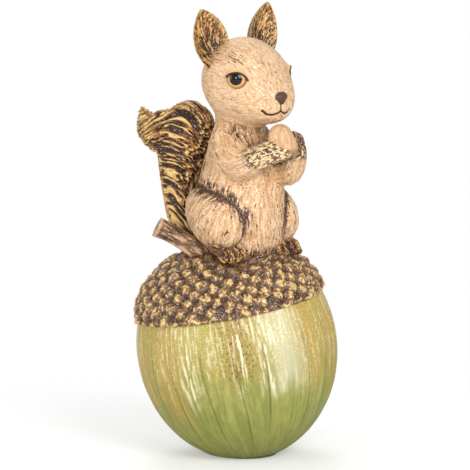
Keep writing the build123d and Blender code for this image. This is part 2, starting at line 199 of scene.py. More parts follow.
def smooth_rows(rows, parts):
    """Rows of numbers on a Catmull-Rom curve through the given ones, parts to each span."""
    rows = np.asarray(rows, dtype=float)
    ends = np.vstack([2 * rows[0] - rows[1], rows, 2 * rows[-1] - rows[-2]])
    out = []
    for i in range(len(rows) - 1):
        a, b, c, d = ends[i : i + 4]
        for t in np.arange(parts) / parts:
            bend = (2 * a - 5 * b + 4 * c - d) * t * t + (3 * b - a - 3 * c + d) * t**3
            out.append(b + ((c - a) * t + bend) / 2)
    out.append(rows[-1])
    return np.array(out)


def station_rows(stations, parts=3):
    return smooth_rows([(*centre, wide, deep) for centre, wide, deep in stations], parts)


def unit(vectors):
    return vectors / (np.linalg.norm(vectors, axis=-1, keepdims=True) + 1e-9)


def tube(rows, side=(1, 0, 0), round_end=FAR):
    """Distance to a tube of elliptical sections: half width along side, half depth across it.

    Each span ends in domes, no deeper than round_end.
    """
    side = np.array(side, dtype=float)
    rows = rows.astype(np.float32)

    def distance(points):
        points = points.astype(np.float32)
        nearest = np.full(len(points), FAR, dtype=np.float32)
        for start, end in zip(rows[:-1], rows[1:]):
            way = unit(end[:3] - start[:3])
            length = np.linalg.norm(end[:3] - start[:3])
            across = unit(side - way * (side @ way)).astype(np.float32)
            third = np.cross(way, across)
            from_start = points - start[:3]
            along = from_start @ way
            t = np.clip(along / length, 0, 1)
            wide = start[3] + (end[3] - start[3]) * t
            deep = start[4] + (end[4] - start[4]) * t
            u, v, w = from_start @ across, from_start @ third, along - t * length
            least = np.minimum(wide, deep)
            least = np.where(w == 0, least, np.minimum(least, round_end))
            u, v, w = u / wide, v / deep, w / least
            reach = np.sqrt(u * u + v * v + w * w)
            u, v, w = u / wide, v / deep, w / least
            slope = np.sqrt(u * u + v * v + w * w)
            nearest = np.minimum(nearest, reach * (reach - 1) / (slope + 1e-5))
        return nearest

    return distance


def levels(rows):
    """Distance to a stack of ellipses: place along, rise of the middle, half width, half height."""
    rows = smooth_rows(rows, 6)
    growth = np.gradient((rows[:, 2] + rows[:, 3]) / 2, rows[:, 0])

    def distance(along, across, rise):
        columns = (*rows.T[1:], growth)
        middle, wide, deep, slope = (np.interp(along, rows[:, 0], column) for column in columns)
        off = rise - middle
        share = np.hypot(across / wide, off / deep)
        out = np.hypot(across, off)
        edge = np.where(share > 0.05, out / np.maximum(share, 1e-3), np.minimum(wide, deep))
        radial = (out - edge) / np.sqrt(1 + slope**2)
        past = np.maximum(rows[0, 0] - along, along - rows[-1, 0])
        return -blend(-radial, -past, END_ROUND)

    return distance


def blend(a, b, soft):
    """Smooth union of two distances, rounded over about soft mm."""
    near = np.maximum(soft - np.abs(a - b), 0) / soft
    return np.minimum(a, b) - near * near * soft / 4


def mirrored(points):
    return points * np.array((-1.0, 1.0, 1.0))


def turned(points, angle):
    """Points turned about +Z."""
    x, y, z = points.T
    c, s = math.cos(angle), math.sin(angle)
    return np.stack([x * c - y * s, y * c + x * s, z], axis=1)


def to_head(points):
    """Row frame to the head's own frame, where it faces -Y."""
    return turned(points - SEAT - SKULL_CENTRE, -HEAD_TURN)


def from_head(points):
    return turned(points, HEAD_TURN) + SEAT + SKULL_CENTRE


# ---- face
LOOK = unit(np.array((-0.70, -0.705, 0.12)))  # the way the right eye's opening faces
GAZE = unit(np.array((-0.77, -0.64, 0.04)))  # the way its pupil points
EYE_SIDE = unit(np.cross(LOOK, (0, 0, 1)))
EYE_UP = np.cross(EYE_SIDE, LOOK)
LID_TILT = math.radians(10.0)  # the outer corner stands higher
LID_HALF, LID_ABOVE, LID_BELOW = 3.9, 2.7, 3.8
LID_MIDDLE = (-0.1, -0.7)  # of the opening, from the eyeball's centre
LID_POINTED = 1.6  # 2 is an ellipse, and less draws its two corners out
LID_SUNK = 0.6
LID_OFF, LID_ROLL = 0.45, 0.55  # how far outside the opening its rolled edge runs, and its radius
OPENING_FROM = 0.8  # how far in front of the eye's centre the opening starts
NOSE_SOFT, NOSE_JOIN, LID_JOIN = 1.2, 0.5, 1.3  # how softly the forms of the face meet
MOUTH = ((0.0, -11.3), (1.6, -12.1), (4.4, -12.7), (7.2, -12.3), (9.3, -10.5))
PHILTRUM_TOP = -8.0
MOUTH_WIDTH, MOUTH_DEPTH, MOUTH_SHORT = 0.5, 0.6, 1.7
MOUTH_FROM = -12  # only in front of this y


def lid_edge(head_points):
    """Roughly how far outside the eye's opening a point is, and how far in front of the eyeball."""
    p = head_points * np.where(head_points[:, :1] > 0, -1, 1) ** np.array((1, 0, 0)) - EYE_CENTRE
    s, t = p @ EYE_SIDE - LID_MIDDLE[0], p @ EYE_UP - LID_MIDDLE[1]
    along = s * math.cos(LID_TILT) + t * math.sin(LID_TILT)
    rise = t * math.cos(LID_TILT) - s * math.sin(LID_TILT)
    height = np.where(rise > 0, LID_ABOVE, LID_BELOW)
    edge = (np.abs(along / LID_HALF) ** LID_POINTED + (rise / height) ** 2 - 1) * height / 2
    return edge, p @ LOOK, np.linalg.norm(p, axis=1), rise


def mouth_distance(head_points):
    """Distance to the mouth's line, seen from the front, for points on the front of the head.

    The painter stopped the line short on the squirrel's left.
    """
    x, z = head_points[:, 0], head_points[:, 2]
    x = np.where(x > 0, x * MOUTH_SHORT, -x)
    lines = list(zip(MOUTH[:-1], MOUTH[1:])) + [((0.0, PHILTRUM_TOP), MOUTH[0])]
    nearest = np.full(len(x), FAR)
    for (ax, az), (bx, bz) in lines:
        t = ((x - ax) * (bx - ax) + (z - az) * (bz - az)) / ((bx - ax) ** 2 + (bz - az) ** 2)
        t = np.clip(t, 0, 1)
        nearest = np.minimum(nearest, np.hypot(x - ax - (bx - ax) * t, z - az - (bz - az) * t))
    return np.where(head_points[:, 1] < MOUTH_FROM, nearest, FAR)


skull_levels = levels(HEAD_LEVELS)
nose_top_tube = tube(station_rows(NOSE_TOP, 1))
nose_tip_tube = tube(station_rows(NOSE_TIP, 1))


def nose_field(p):
    return blend(nose_top_tube(p), nose_tip_tube(p), NOSE_SOFT)


def head_field(points):
    p = to_head(points)
    form = skull_levels(-p[:, 1], p[:, 0], p[:, 2])
    form = blend(form, nose_field(p), NOSE_JOIN)
    edge, front, ball, _ = lid_edge(p)
    roll = np.hypot(edge - LID_OFF, ball - EYE_RADIUS + LID_SUNK) - LID_ROLL
    form = blend(form, np.where(front > 0, roll, FAR), LID_JOIN)
    form = form + MOUTH_DEPTH * np.exp(-((mouth_distance(p) / MOUTH_WIDTH) ** 2))
    return np.maximum(form, -np.maximum(edge, OPENING_FROM - front))


# ---- body and limbs
torso_levels = levels(TORSO_LEVELS)
thigh_tube = tube(station_rows(THIGH))
instep_tube = tube(station_rows(INSTEP))
arm_right_tube = tube(station_rows(ARM_RIGHT), side=(0, 0.3, 1))
arm_left_tube = tube(station_rows(ARM_LEFT))
held_nut_tube = tube(station_rows(HELD_NUT))


def toe_tube(fan):
    """One toe, that many toes out from the middle of the foot."""
    root = ((-14.6 + fan * 2.9, -8.6, 94.4), 1.9, 2.7)
    knuckle = ((-15.0 + fan * 3.3, -12.2, 93.2), 1.9, 2.7)
    tip = ((-15.3 + fan * 3.6, -15.6 + abs(fan) * 0.7, 90.6), 1.6, 2.0)
    return tube(station_rows((root, knuckle, tip), 2))


toe_tubes = [toe_tube(fan) for fan in (-1.5, -0.5, 0.5, 1.5)]
FINGERS_RIGHT = (
    ((-4.6, -31.2, 139.4), (-5.5, -30.8, 141.0), (-5.9, -30.0, 142.4)),
    ((-1.6, -32.9, 139.6), (-0.6, -33.8, 140.4), (0.2, -33.6, 141.0)),
    ((0.8, -33.4, 138.2), (1.4, -33.8, 138.4), (2.0, -33.8, 138.4)),
)
FINGERS_LEFT = (
    ((6.8, -31.0, 141.4), (5.8, -32.4, 141.9), (4.9, -33.0, 142.1)),
    ((6.6, -30.4, 143.2), (5.7, -31.8, 143.9), (4.8, -32.5, 144.1)),
    ((6.4, -29.4, 144.6), (5.5, -30.8, 145.5), (4.6, -31.6, 145.8)),
)
FINGER_RADIUS = 1.15
TAIL_ACROSS = (TAIL_BACK[1], -TAIL_BACK[0], 0)
TAIL_END_ROUND = 1.5  # mm
TOES_JOIN, FINGERS_JOIN, CURL_JOIN = 0.9, 0.8, 1.5  # how softly they run into the rest, mm


def foot_form(p):
    return blend(instep_tube(p), np.minimum.reduce([toe(p) for toe in toe_tubes]), TOES_JOIN)


def with_fingers(arm, fingers):
    """An arm that runs into its fingers."""
    runs = [[(point, FINGER_RADIUS, FINGER_RADIUS) for point in finger] for finger in fingers]
    tubes = [tube(station_rows(run, 2)) for run in runs]
    return lambda p: blend(arm(p), np.minimum.reduce([finger(p) for finger in tubes]), FINGERS_JOIN)


def tail_tube(tail_levels):
    rows = [(*TAIL_BACK * back, z, wide, deep) for back, z, wide, deep in tail_levels]
    return tube(smooth_rows(rows, 3), TAIL_ACROSS, TAIL_END_ROUND)


brush_tube, curl_tube = tail_tube(BRUSH_LEVELS), tail_tube(CURL_LEVELS)


def seated(form):
    """The field of a form that is drawn about the squirrel's own axis."""
    return lambda points: form(points - SEAT)


FIELDS = {
    "torso": seated(lambda p: torso_levels(p[:, 2], p[:, 0], p[:, 1])),
    "head": head_field,
    "thigh_right": seated(thigh_tube),
    "thigh_left": seated(lambda p: thigh_tube(mirrored(p))),
    "foot_right": seated(foot_form),
    "foot_left": seated(lambda p: foot_form(mirrored(p))),
    "arm_right": seated(with_fingers(arm_right_tube, FINGERS_RIGHT)),
    "arm_left": seated(with_fingers(arm_left_tube, FINGERS_LEFT)),
    "held_nut": seated(held_nut_tube),
    "tail": seated(lambda p: blend(brush_tube(p), curl_tube(p), CURL_JOIN)),
}
# How softly neighbours run into each other, mm.
JOINS = {
    ("torso", "head"): 4.0,
    ("torso", "arm_right"): 7.0,
    ("torso", "arm_left"): 5.0,
    ("torso", "thigh_right"): 1.2,
    ("torso", "thigh_left"): 1.2,
    ("thigh_right", "foot_right"): 0.8,
    ("thigh_left", "foot_left"): 0.8,
    ("torso", "foot_right"): 0.8,
    ("torso", "foot_left"): 0.8,
    ("arm_right", "arm_left"): 0.6,
    ("torso", "tail"): 0.8,
    ("thigh_right", "tail"): 0.5,
    ("thigh_left", "tail"): 0.5,
}
REACH = 4.5  # how far outside a form's own box it still matters, mm
SLOPE_STEP = 0.06  # mm


def box_of(name):
    low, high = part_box(name)
    return np.array(low) / MM, np.array(high) / MM


def near_field(name, points):
    """The form's distance, worked out only close to its CAD box."""
    low, high = box_of(name)
    out = np.full(len(points), FAR)
    close = np.all((points > low - REACH) & (points < high + REACH), axis=1)
    out[close] = FIELDS[name](points[close])
    return out


def neighbours(name):
    for pair, soft in JOINS.items():
        if name in pair:
            yield (pair[0] if pair[1] == name else pair[1]), soft


def casting_field(name):
    """The form where it is outermost, filleted to its neighbours, and sunk below them elsewhere."""

    def distance(points):
        own = FIELDS[name](points)
        close = np.abs(own) < REACH
        joined, nearest = own[close], np.full(np.count_nonzero(close), FAR)
        for other, soft in neighbours(name):
            theirs = near_field(other, points[close])
            joined = blend(joined, theirs, soft)
            nearest = np.minimum(nearest, theirs)
        own[close] = joined + np.maximum(own[close] - nearest, 0)
        return own

    return distance


def slope_of(field, points):
    """The field and its gradient."""
    here = field(points)
    there = [field(points + axis * SLOPE_STEP) for axis in np.eye(3)]
    return here, (np.stack(there, axis=1) - here[:, None]) / SLOPE_STEP


# ---- surface nets
BLOCK = 4  # fine points along a coarse block's side
BAND = 2.4  # how near a block's middle must be to the surface to be filled, mm
BLOCKS_AT_ONCE = 8000
LEAST_SLOPE, MOST_MOVE = 0.25, 0.3  # where a point is settled: slope squared, and mm


def grid_values(field, low, high, step):
    """The field on a grid of points, worked out finely only near the surface."""
    blocks = np.ceil((high - low) / (step * BLOCK)).astype(int)
    corners = np.indices(blocks).reshape(3, -1).T
    middle = field(low + (corners + 0.5) * step * BLOCK)
    values = np.where(middle < 0, -FAR, FAR).reshape(blocks)
    for axis in range(3):
        values = np.repeat(values, BLOCK, axis=axis)
    offsets = np.indices((BLOCK,) * 3).reshape(3, -1).T
    near = corners[np.abs(middle) < BAND]
    for start in range(0, len(near), BLOCKS_AT_ONCE):
        index = (near[start : start + BLOCKS_AT_ONCE, None, :] * BLOCK + offsets).reshape(-1, 3)
        values[tuple(index.T)] = field(low + index * step)
    return values


def surface_net(field, low, high, step):
    """Points and quads of the field's zero level."""
    values = grid_values(field, low, high, step)
    inside = values < 0
    shape = np.array(values.shape)
    pick = np.array((shape[1] * shape[2], shape[2], 1))
    cells, places, quads = [], [], []
    for axis in range(3):
        start = np.stack(np.nonzero(np.diff(inside, axis=axis)), axis=1)
        one = np.eye(3, dtype=int)
        first, second = values[tuple(start.T)], values[tuple((start + one[axis]).T)]
        crossing = start + one[axis] * (first / (first - second))[:, None]
        u, v = one[(axis + 1) % 3], one[(axis + 2) % 3]
        ring = np.stack([cell @ pick for cell in (start, start - u, start - u - v, start - v)], axis=1)
        ring[first > 0] = ring[first > 0][:, ::-1]
        quads.append(ring)
        cells.append(ring.ravel())
        places.append(np.repeat(crossing, 4, axis=0))
    places = np.concatenate(places)
    known, index = np.unique(np.concatenate(cells), return_inverse=True)
    count = np.bincount(index)
    points = np.stack([np.bincount(index, places[:, a]) / count for a in range(3)], axis=1)
    faces = np.searchsorted(known, np.concatenate(quads))
    return low + points * step, faces


def settle(field, points):
    """Moves points onto the field's zero level, and gives the way it faces there."""
    here, slope = slope_of(field, points)
    move = np.clip(here / np.maximum((slope**2).sum(axis=1), LEAST_SLOPE), -MOST_MOVE, MOST_MOVE)
    points = points - slope * move[:, None]
    return points, unit(slope_of(field, points)[1])


def along_surface(way, normals):
    """A direction turned into the surface."""
    return unit(way - normals * (way * normals).sum(axis=1, keepdims=True))


# ---- Blender objects
def new_piece(name, points, faces, node, material, masks=None):
    """A smooth mesh that stands for one CAD node, with its paint masks as point attributes.

    A few bumps that would leave the CAD's box by a hair are pressed back to it.
    """
    mesh = bpy.data.meshes.new(name)
    quads = faces.tolist() if hasattr(faces, "tolist") else faces
    mesh.from_pydata(np.clip(points * MM, *cad_box).tolist(), [], quads)
    mesh.shade_smooth()
    for key, values in (masks or {}).items():
        attribute = mesh.attributes.new(key, "FLOAT", "POINT")
        attribute.data.foreach_set("value", np.asarray(values, dtype=np.float32))
    mesh.materials.append(material)
    piece = bpy.data.objects.new(name, mesh)
    bpy.context.collection.objects.link(piece)
    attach(piece, "root")
    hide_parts(node)
    return piece


# ---- materials
def colour(hex_code):
    """An sRGB hex colour as linear red, green, blue, alpha."""
    parts = [int(hex_code[i : i + 2], 16) / 255 for i in (0, 2, 4)]
    linear = [c / 12.92 if c <= 0.04045 else ((c + 0.055) / 1.055) ** 2.4 for c in parts]
    return (*linear, 1.0)


class Paint:
    """A small helper that builds one material's nodes from left to right."""

    def __init__(self, name):
        self.material = bpy.data.materials.new(name)
        self.material.use_nodes = True
        self.tree = self.material.node_tree
        self.shader = self.tree.nodes["Principled BSDF"]
        self.place = self.node("TexCoord").outputs["Object"]

    def node(self, kind, inputs=None, **settings):
        """A new node with those settings, and a link or a value in each of those inputs."""
        node = self.tree.nodes.new("ShaderNode" + kind)
        for key, value in settings.items():
            setattr(node, key, value)
        self.fill(node, inputs or {})
        return node

    def fill(self, node, inputs):
        for socket, source in inputs.items():
            if hasattr(source, "is_output"):
                self.tree.links.new(source, node.inputs[socket])
            else:
                node.inputs[socket].default_value = source

    def math(self, operation, a, b):
        return self.node("Math", {0: a, 1: b}, operation=operation).outputs[0]

    def times(self, a, b):
        return self.math("MULTIPLY", a, b)

    def plus(self, a, b):
        return self.math("ADD", a, b)

    def minus(self, a, b):
        return self.math("SUBTRACT", a, b)

    def vector(self, operation, a, b):
        return self.node("VectorMath", {0: a, 1: b}, operation=operation).outputs[0]

    def mask(self, key):
        return self.node("Attribute", attribute_name=key).outputs["Fac"]

    def scaled(self, per_mm):
        """The place in the row frame, with per_mm units to each millimetre along x, y and z."""
        return self.vector("MULTIPLY", self.place, [s / MM for s in np.broadcast_to(per_mm, 3)])

    def noise_at(self, place, detail):
        return self.node("TexNoise", {"Vector": place, "Scale": 1.0, "Detail": detail}).outputs["Fac"]

    def noise(self, size, detail=2.0, stretch=(1, 1, 1)):
        return self.noise_at(self.scaled([1 / (size * s) for s in stretch]), detail)

    def lock_hairs(self):
        """Hair-fine noise along the locks, by the mesh's own across, along and through."""
        sizes = (("across", 0.32), ("along", 7.0), ("through", 0.6))
        parts = [self.math("DIVIDE", self.mask(key), size) for key, size in sizes]
        return self.noise_at(self.node("CombineXYZ", dict(enumerate(parts))).outputs[0], 1.0)

    def ramp(self, value, start, end):
        inputs = {"Value": value, "From Min": start, "From Max": end}
        return self.node("MapRange", inputs, interpolation_type="SMOOTHSTEP").outputs["Result"]

    def mix(self, share, a, b):
        return self.node("Mix", {"Factor": share, "A": a, "B": b}, data_type="RGBA").outputs["Result"]

    def coat(self, base, mask, share, hex_code):
        """That share of a colour over base, where the mask says."""
        return self.mix(self.times(mask, share), base, colour(hex_code))

    def flakes(self, size, share):
        """A mask of single glitter flakes, and a random number from 0 to 1 and a colour for each."""
        cells = self.node("TexVoronoi", {"Vector": self.scaled(1 / size), "Scale": 1.0}).outputs
        parts = self.node("SeparateColor", {"Color": cells["Color"]}).outputs
        chosen = self.math("LESS_THAN", parts["Red"], share)
        middle = self.math("LESS_THAN", cells["Distance"], 0.42)
        return self.times(chosen, middle), parts["Green"], cells["Color"]

    def facets(self, flake_colour, amount):
        """A normal that tips a different way on each flake."""
        tip = self.vector("SUBTRACT", flake_colour, (0.5, 0.5, 0.5))
        tip = self.node("VectorMath", {0: tip, "Scale": amount}, operation="SCALE").outputs[0]
        return self.vector("ADD", self.node("NewGeometry").outputs["Normal"], tip)

    def bump(self, height, depth_mm, normal=None):
        inputs = {"Strength": 1.0, "Distance": depth_mm * MM, "Height": height}
        inputs.update({} if normal is None else {"Normal": normal})
        return self.node("Bump", inputs).outputs["Normal"]

    def finish(self, base, roughness, normal, others=None):
        inputs = {"Base Color": base, "Roughness": roughness, "Normal": normal, **(others or {})}
        self.fill(self.shader, inputs)
        return self.material

    def finish_glittered(self, base, rough, relief, flakes, amount, cover, pale, gold, gold_from):
        """Finishes with pale and gold flakes over base: amount of them, each covering it by cover.

        The flakes are smoother than the paint and tip their own ways. relief is the height and depth
        of the paint's own bumps.
        """
        chosen, pick, tint = flakes
        shown = self.times(chosen, amount)
        flake = self.mix(self.ramp(pick, *gold_from), pale, gold)
        base = self.mix(self.times(shown, cover), base, flake)
        rough = self.minus(rough, self.times(shown, 0.25))
        facet = self.facets(tint, self.times(shown, 0.6))
        return self.finish(base, rough, self.bump(*relief, facet), {"Metallic": self.times(shown, 0.3)})


def glitter_paint(name, colours, flake_size, share, rough=0.5, flake_loss=0.3, locks=False):
    """Hand paint over combed relief: deep colour in the gaps, gilt strokes on the ridges, glitter.

    The colours are those of gaps and ridges, of dark and gilt strokes, and of pale flakes. flake_loss
    is the share of the glitter that is missing where the paint is dark. With locks, the mesh also says
    where each point is across, along and through its locks, for hair-fine strokes.

    Masks on the mesh: ridge (0 in a gap, 1 on a ridge), dark (dark strokes, and on some castings painted
    shade), gilt and bare, each from 0 to 1.
    """
    paint = Paint(name)
    low, high, deep, gilt, sparkle = (colour(code) for code in colours.split())
    ridge, dark, gold, bare = (paint.mask(key) for key in ("ridge", "dark", "gilt", "bare"))
    mottle = paint.noise(3.0, 4.0)
    grain = paint.noise(0.4)
    hairs = paint.lock_hairs() if locks else paint.noise(0.45, 1.0, (0.7, 0.7, 3.0))
    tone = paint.plus(paint.times(ridge, 0.5), paint.times(mottle, 0.3))
    tone = paint.plus(tone, paint.times(hairs, 0.4))
    base = paint.mix(paint.ramp(tone, 0.2, 0.95), low, high)
    gold = paint.times(gold, paint.ramp(hairs if locks else grain, 0.3, 0.55))
    base = paint.mix(gold, base, gilt)
    shade = paint.times(dark, paint.math("MAXIMUM", paint.ramp(grain, 0.2, 0.45), bare))
    base = paint.mix(shade, base, deep)
    hidden = paint.math("MAXIMUM", bare, paint.times(dark, flake_loss))
    flakes, shown = paint.flakes(flake_size, share), paint.minus(1.0, hidden)
    rough = paint.plus(rough, paint.times(grain, 0.2))
    relief = (paint.plus(grain, hairs), 0.05)
    return paint.finish_glittered(base, rough, relief, flakes, shown, 0.85, sparkle, gilt, (0.55, 0.7))


# The colours, the flakes' size in mm and their share, and what differs from the usual.
PAINTS = {
    "cream_fur_paint": ("BE8A5C E8C69C 3E1E0E C89456 FFF8F2", 0.46, 0.26, {"flake_loss": 0.8}),
    "arm_fur_paint": ("BE8A5C E6C298 4E2C0E EBD29A FFFAF2", 0.4, 0.26, {}),
    "ear_fur_paint": ("66401A BC8C4C 34180A ECC07A FFF0D8", 0.4, 0.14, {}),
    "tail_fur_paint": ("5A3014 94642E 2A0E04 F4CC84 FFE8C4", 0.42, 0.12, {"rough": 0.36, "locks": True}),
    "paw_paint": ("421E0A 94602C 200A02 E6B870 FFF0D8", 0.4, 0.16, {}),
    "cap_paint": ("5C3C28 86603A 3E2618 F4CE84 FFF0D8", 0.42, 0.24, {"rough": 0.3}),
    "stalk_paint": ("543626 98744F 3A221A D4B48C FFF4EA", 0.42, 0.14, {}),
    "hazelnut_paint": ("C2966A DAB288 6A3A1C E8C08C FFF0DC", 0.42, 0.05, {"rough": 0.34}),
}
cream_fur, arm_fur, dark_fur, tail_fur, paw_paint, cap_paint, stalk_paint, hazel_paint = (
    glitter_paint(name, *usual, **rest) for name, (*usual, rest) in PAINTS.items()
)


# ---- combed castings
# The ends of a ramp are in mm over a place, in spreads over even noise, and in shares over a mask.
STEP, TORSO_STEP = 0.3, 0.32  # of the surface nets, mm
NET_MARGIN = 2.5  # round the CAD solid's box, mm
DARK_DASH, GILT_DASH = (2.4, 0.55), (3, 0.7)  # length and width of the usual brush dashes, mm
FLAWS = np.array((31.7, 12.1, 57.3))  # shifts one noise from another


def mesh_casting(name, step=STEP):
    low, high = box_of(name)
    field = casting_field(name)
    points, faces = surface_net(field, low - NET_MARGIN, high + NET_MARGIN, step)
    points, normals = settle(field, points)
    return points, normals, faces


def junction(name, points, kinds, wide=2.8):
    """1 along the seams with the neighbours of those kinds, 0 away from them."""
    nearest = np.full(len(points), FAR)
    for other, _ in neighbours(name):
        if other.split("_")[0] in kinds:
            nearest = np.minimum(nearest, near_field(other, points))
    return np.exp(-np.clip(nearest, 0, FAR) / wide)


def comb(points, normals, way, length=3.2, width=0.7, relief=0.12):
    """Moves points along their normals in strokes, and gives how high each one stands, 0 to 1."""
    flow = along_surface(way, normals)
    height = 0.8 * strokes(points, flow, length, width, steps=7)
    height = height + 0.35 * even(noise(points + FLAWS, width))
    ridge = ramp(height, -1.6, 1.6)
    return points + normals * ((ridge - 0.55) * 2 * relief)[:, None], ridge, flow


def dashes(points, flow, length, width, share, shift=0.0):
    """Separate brush dashes that cover about that share of the surface."""
    height = strokes(points, flow, length, width, FLAWS * 2 + shift, steps=7)
    cut = np.quantile(height, 1 - share)
    return ramp(height, cut - 0.1, cut + 0.2)


def masks(ridge, dark, gilt, bare=0.0):
    """The masks that glitter_paint reads. bare: where there is no glitter and the dark is solid."""
    parts = {"ridge": ridge, "dark": dark, "gilt": gilt, "bare": bare}
    return {key: np.clip(np.broadcast_to(part, len(ridge)), 0, 1) for key, part in parts.items()}


def make_torso():
    points, normals, faces = mesh_casting("torso", TORSO_STEP)
    sway = np.stack([0.25 * np.sin(points[:, 2] / 7), 0 * points[:, 0], -np.ones(len(points))], axis=1)
    seam = junction("torso", points, ("thigh", "foot", "tail"))
    points, ridge, flow = comb(points, normals, sway)
    p = points - SEAT
    # Painted shade under the chin: dark dashes and brownish gilt dashes on the neck below the jaw.
    chin_shade = ramp(p[:, 2], 129, 141) * ramp(p[:, 1], 1, -7)
    dark = dashes(points, flow, 2.2, 0.55, 0.035)
    # Dark paint along the seams with the thighs, feet and tail, deepened as painted shade; weaker low down.
    seam_wash_and_shade = ramp(seam, 0.55, 0.85) + ramp(seam, 0.15, 0.45) * dashes(points, flow, *DARK_DASH, 0.45)
    dark = dark + seam_wash_and_shade * (0.3 + 0.7 * ramp(p[:, 2], 98, 108))
    dark = dark + ramp(p[:, 2], 96, 92.5) * dashes(points, flow, 2.6, 0.6, 0.6, 5.0)
    dark = dark + chin_shade * (0.1 + 0.55 * dashes(points, flow, 3.0, 0.7, 0.45, 3.0))
    # Painted shade in the armpit: dark dashes on the torso next to the arms, high up and towards the front.
    armpit_shade = junction("torso", points, ("arm",), 4.0) * ramp(p[:, 2], 134, 139) * ramp(p[:, 1], -2, -7)
    dark = dark + ramp(armpit_shade, 0.2, 0.6) * dashes(points, flow, *DARK_DASH, 0.5, 7.0)
    gilt = dashes(points, flow, *GILT_DASH, 0.05, 9.0) + 0.6 * chin_shade
    new_piece("torso_fur", points, faces, "torso", cream_fur, masks(ridge, dark, gilt))


def make_head():
    points, normals, faces = mesh_casting("head")
    local = to_head(points)
    edge, front, ball, rise = lid_edge(local)
    mouth = mouth_distance(local)
    around_eye = np.where(front > 0, ramp(edge, 2.4, 1.2), 0) * ramp(ball, 9, 7.5)
    on_nose = ramp(nose_field(local), 0.4, 0.15)
    lips = ramp(mouth, 1.4, 0.6)
    still = np.clip(around_eye + on_nose + lips, 0, 1)
    away = local - np.array((0.0, -24.0, -5.0))
    way = from_head(away) - SEAT - SKULL_CENTRE
    combed, ridge, flow = comb(points, normals, way, 1.8, 0.6, 0.09)
    points = points + (combed - points) * (1 - still)[:, None]
    out, up = np.abs(local[:, 0]), local[:, 2]
    brow = ramp(out, 5, 2) * ramp(up, 2, 6) * ramp(up, 12, 8) * ramp(local[:, 1], -4, -10)
    cheek = ramp(np.hypot(out - 13.5, up + 7), 6, 3)
    ear_foot = ramp(np.hypot(out - 14.5, up - 12.5), 5.5, 3) * ramp(up, 6, 10)
    dark = dashes(points, flow, 1.2, 0.5, 0.028) * np.clip(0.4 + 0.8 * brow + cheek, 0, 1)
    dark = dark + ear_foot * dashes(points, flow, 2.6, 0.4, 0.16, 5.0)
    upper_lid = ramp(np.abs(edge - 0.1), 0.85, 0.6) * ramp(rise, -0.6, 0.4)
    lower_lid = ramp(np.abs(edge - 0.1), 0.4, 0.2) * ramp(rise, 0.4, -0.6) * 0.7
    lids = np.where(front > 0.5, np.maximum(upper_lid, lower_lid), 0)
    line = ramp(mouth, 0.6, 0.3)
    dark = dark * (1 - still) + np.maximum.reduce([lids, line, 0.93 * on_nose])
    gilt = dashes(points, flow, *GILT_DASH, 0.04, 9.0) * (1 - still) + around_eye * 0.08
    ridge = (0.3 + 0.7 * ridge) * (1 - still) + 0.7 * still
    paint = masks(ridge, dark, gilt, still)
    new_piece("head_fur", points, faces, "head", cream_fur, paint)


def make_limb(name, node, way, shares=(0.04, 0.05), cuff=None, gaps=None, slot="fur_cream", paint=cream_fur):
    """A combed limb. shares: of dark and of gilt dashes. gaps: the dark between toes.

    cuff: a function that says how far a point belongs to the dark gilt part, and its share of gilt.
    """
    points, normals, faces = mesh_casting(node)
    seam = junction(node, points, ("torso", "foot", "tail") if node.startswith("thigh") else ())
    inside, cuff_gilt = cuff or (lambda p: np.zeros(len(p)), 0.5)
    dark_part = inside(points - SEAT)
    points, ridge, flow = comb(points, normals, way(points), relief=0.14)
    dark = dashes(points, flow, *DARK_DASH, shares[0])
    # Dark paint along the thighs' seams with the torso, feet and tail, deepened as painted shade; weaker low
    # down.
    seam_wash_and_shade = ramp(seam, 0.55, 0.85) + ramp(seam, 0.25, 0.6) * dashes(points, flow, *DARK_DASH, 0.45, 5.0)
    dark = dark + seam_wash_and_shade * (0.4 + 0.6 * ramp((points - SEAT)[:, 2], 98, 108))
    dark = dark + (gaps(points) if gaps else 0)
    gilt_part = dark_part * dashes(points, flow, 1.1, 0.45, cuff_gilt, 11.0)
    dark = dark + dark_part * (1 - gilt_part)
    gilt = dashes(points, flow, *GILT_DASH, shares[1], 9.0) + gilt_part
    new_piece(name, points, faces, node, paint, masks(ridge, dark, gilt))


def constant_way(*way):
    return lambda points: np.broadcast_to(np.array(way, dtype=float), points.shape)


def along_rows(rows):
    """The way from one end of a tube to the other, at the span nearest each point."""

    def way(points):
        p = points - SEAT
        middles = (rows[1:, :3] + rows[:-1, :3]) / 2
        spans = unit(rows[1:, :3] - rows[:-1, :3])
        nearest = np.argmin(((p[:, None, :] - middles[None]) ** 2).sum(axis=2), axis=1)
        return spans[nearest]

    return way


def toe_gaps(points):
    """1 in the grooves between the toes of the foot on that side."""
    p = points - SEAT
    p = np.where(p[:, :1] > 0, mirrored(p), p)
    nearest, second = np.sort([toe(p) for toe in toe_tubes], axis=0)[:2]
    return ramp(second - nearest, 0.9, 0.3) * ramp(p[:, 1], -8, -10)


def right_cuff(p):
    """The gilt upper side of the right forearm, down to the paw."""
    to_paw = np.linalg.norm(p - np.array((-1.0, -31.0, 139.5)), axis=1)
    return ramp(to_paw, 19.5, 16) * ramp(p[:, 2] + 0.25 * p[:, 0], 126.5, 129)


def left_cuff(p):
    return ramp(p[:, 2] + 0.3 * p[:, 1], 123.0, 126.0)


def make_limbs():
    toes = {"shares": (0.3, 0.3), "gaps": toe_gaps, "slot": "paw_brown", "paint": paw_paint}
    for side, turn in (("right", 1), ("left", -1)):
        make_limb(f"thigh_{side}_fur", f"thigh_{side}", constant_way(0.1 * turn, 0.45, -0.85))
        make_limb(f"foot_{side}_toes", f"foot_{side}", constant_way(0, -1, -0.35), **toes)
    arms = (("right", ARM_RIGHT, (right_cuff, 0.55)), ("left", ARM_LEFT, (left_cuff, 0.22)))
    for side, rows, cuff in arms:
        way = along_rows(station_rows(rows))
        make_limb(f"arm_{side}_fur", f"arm_{side}", way, cuff=cuff, paint=arm_fur)


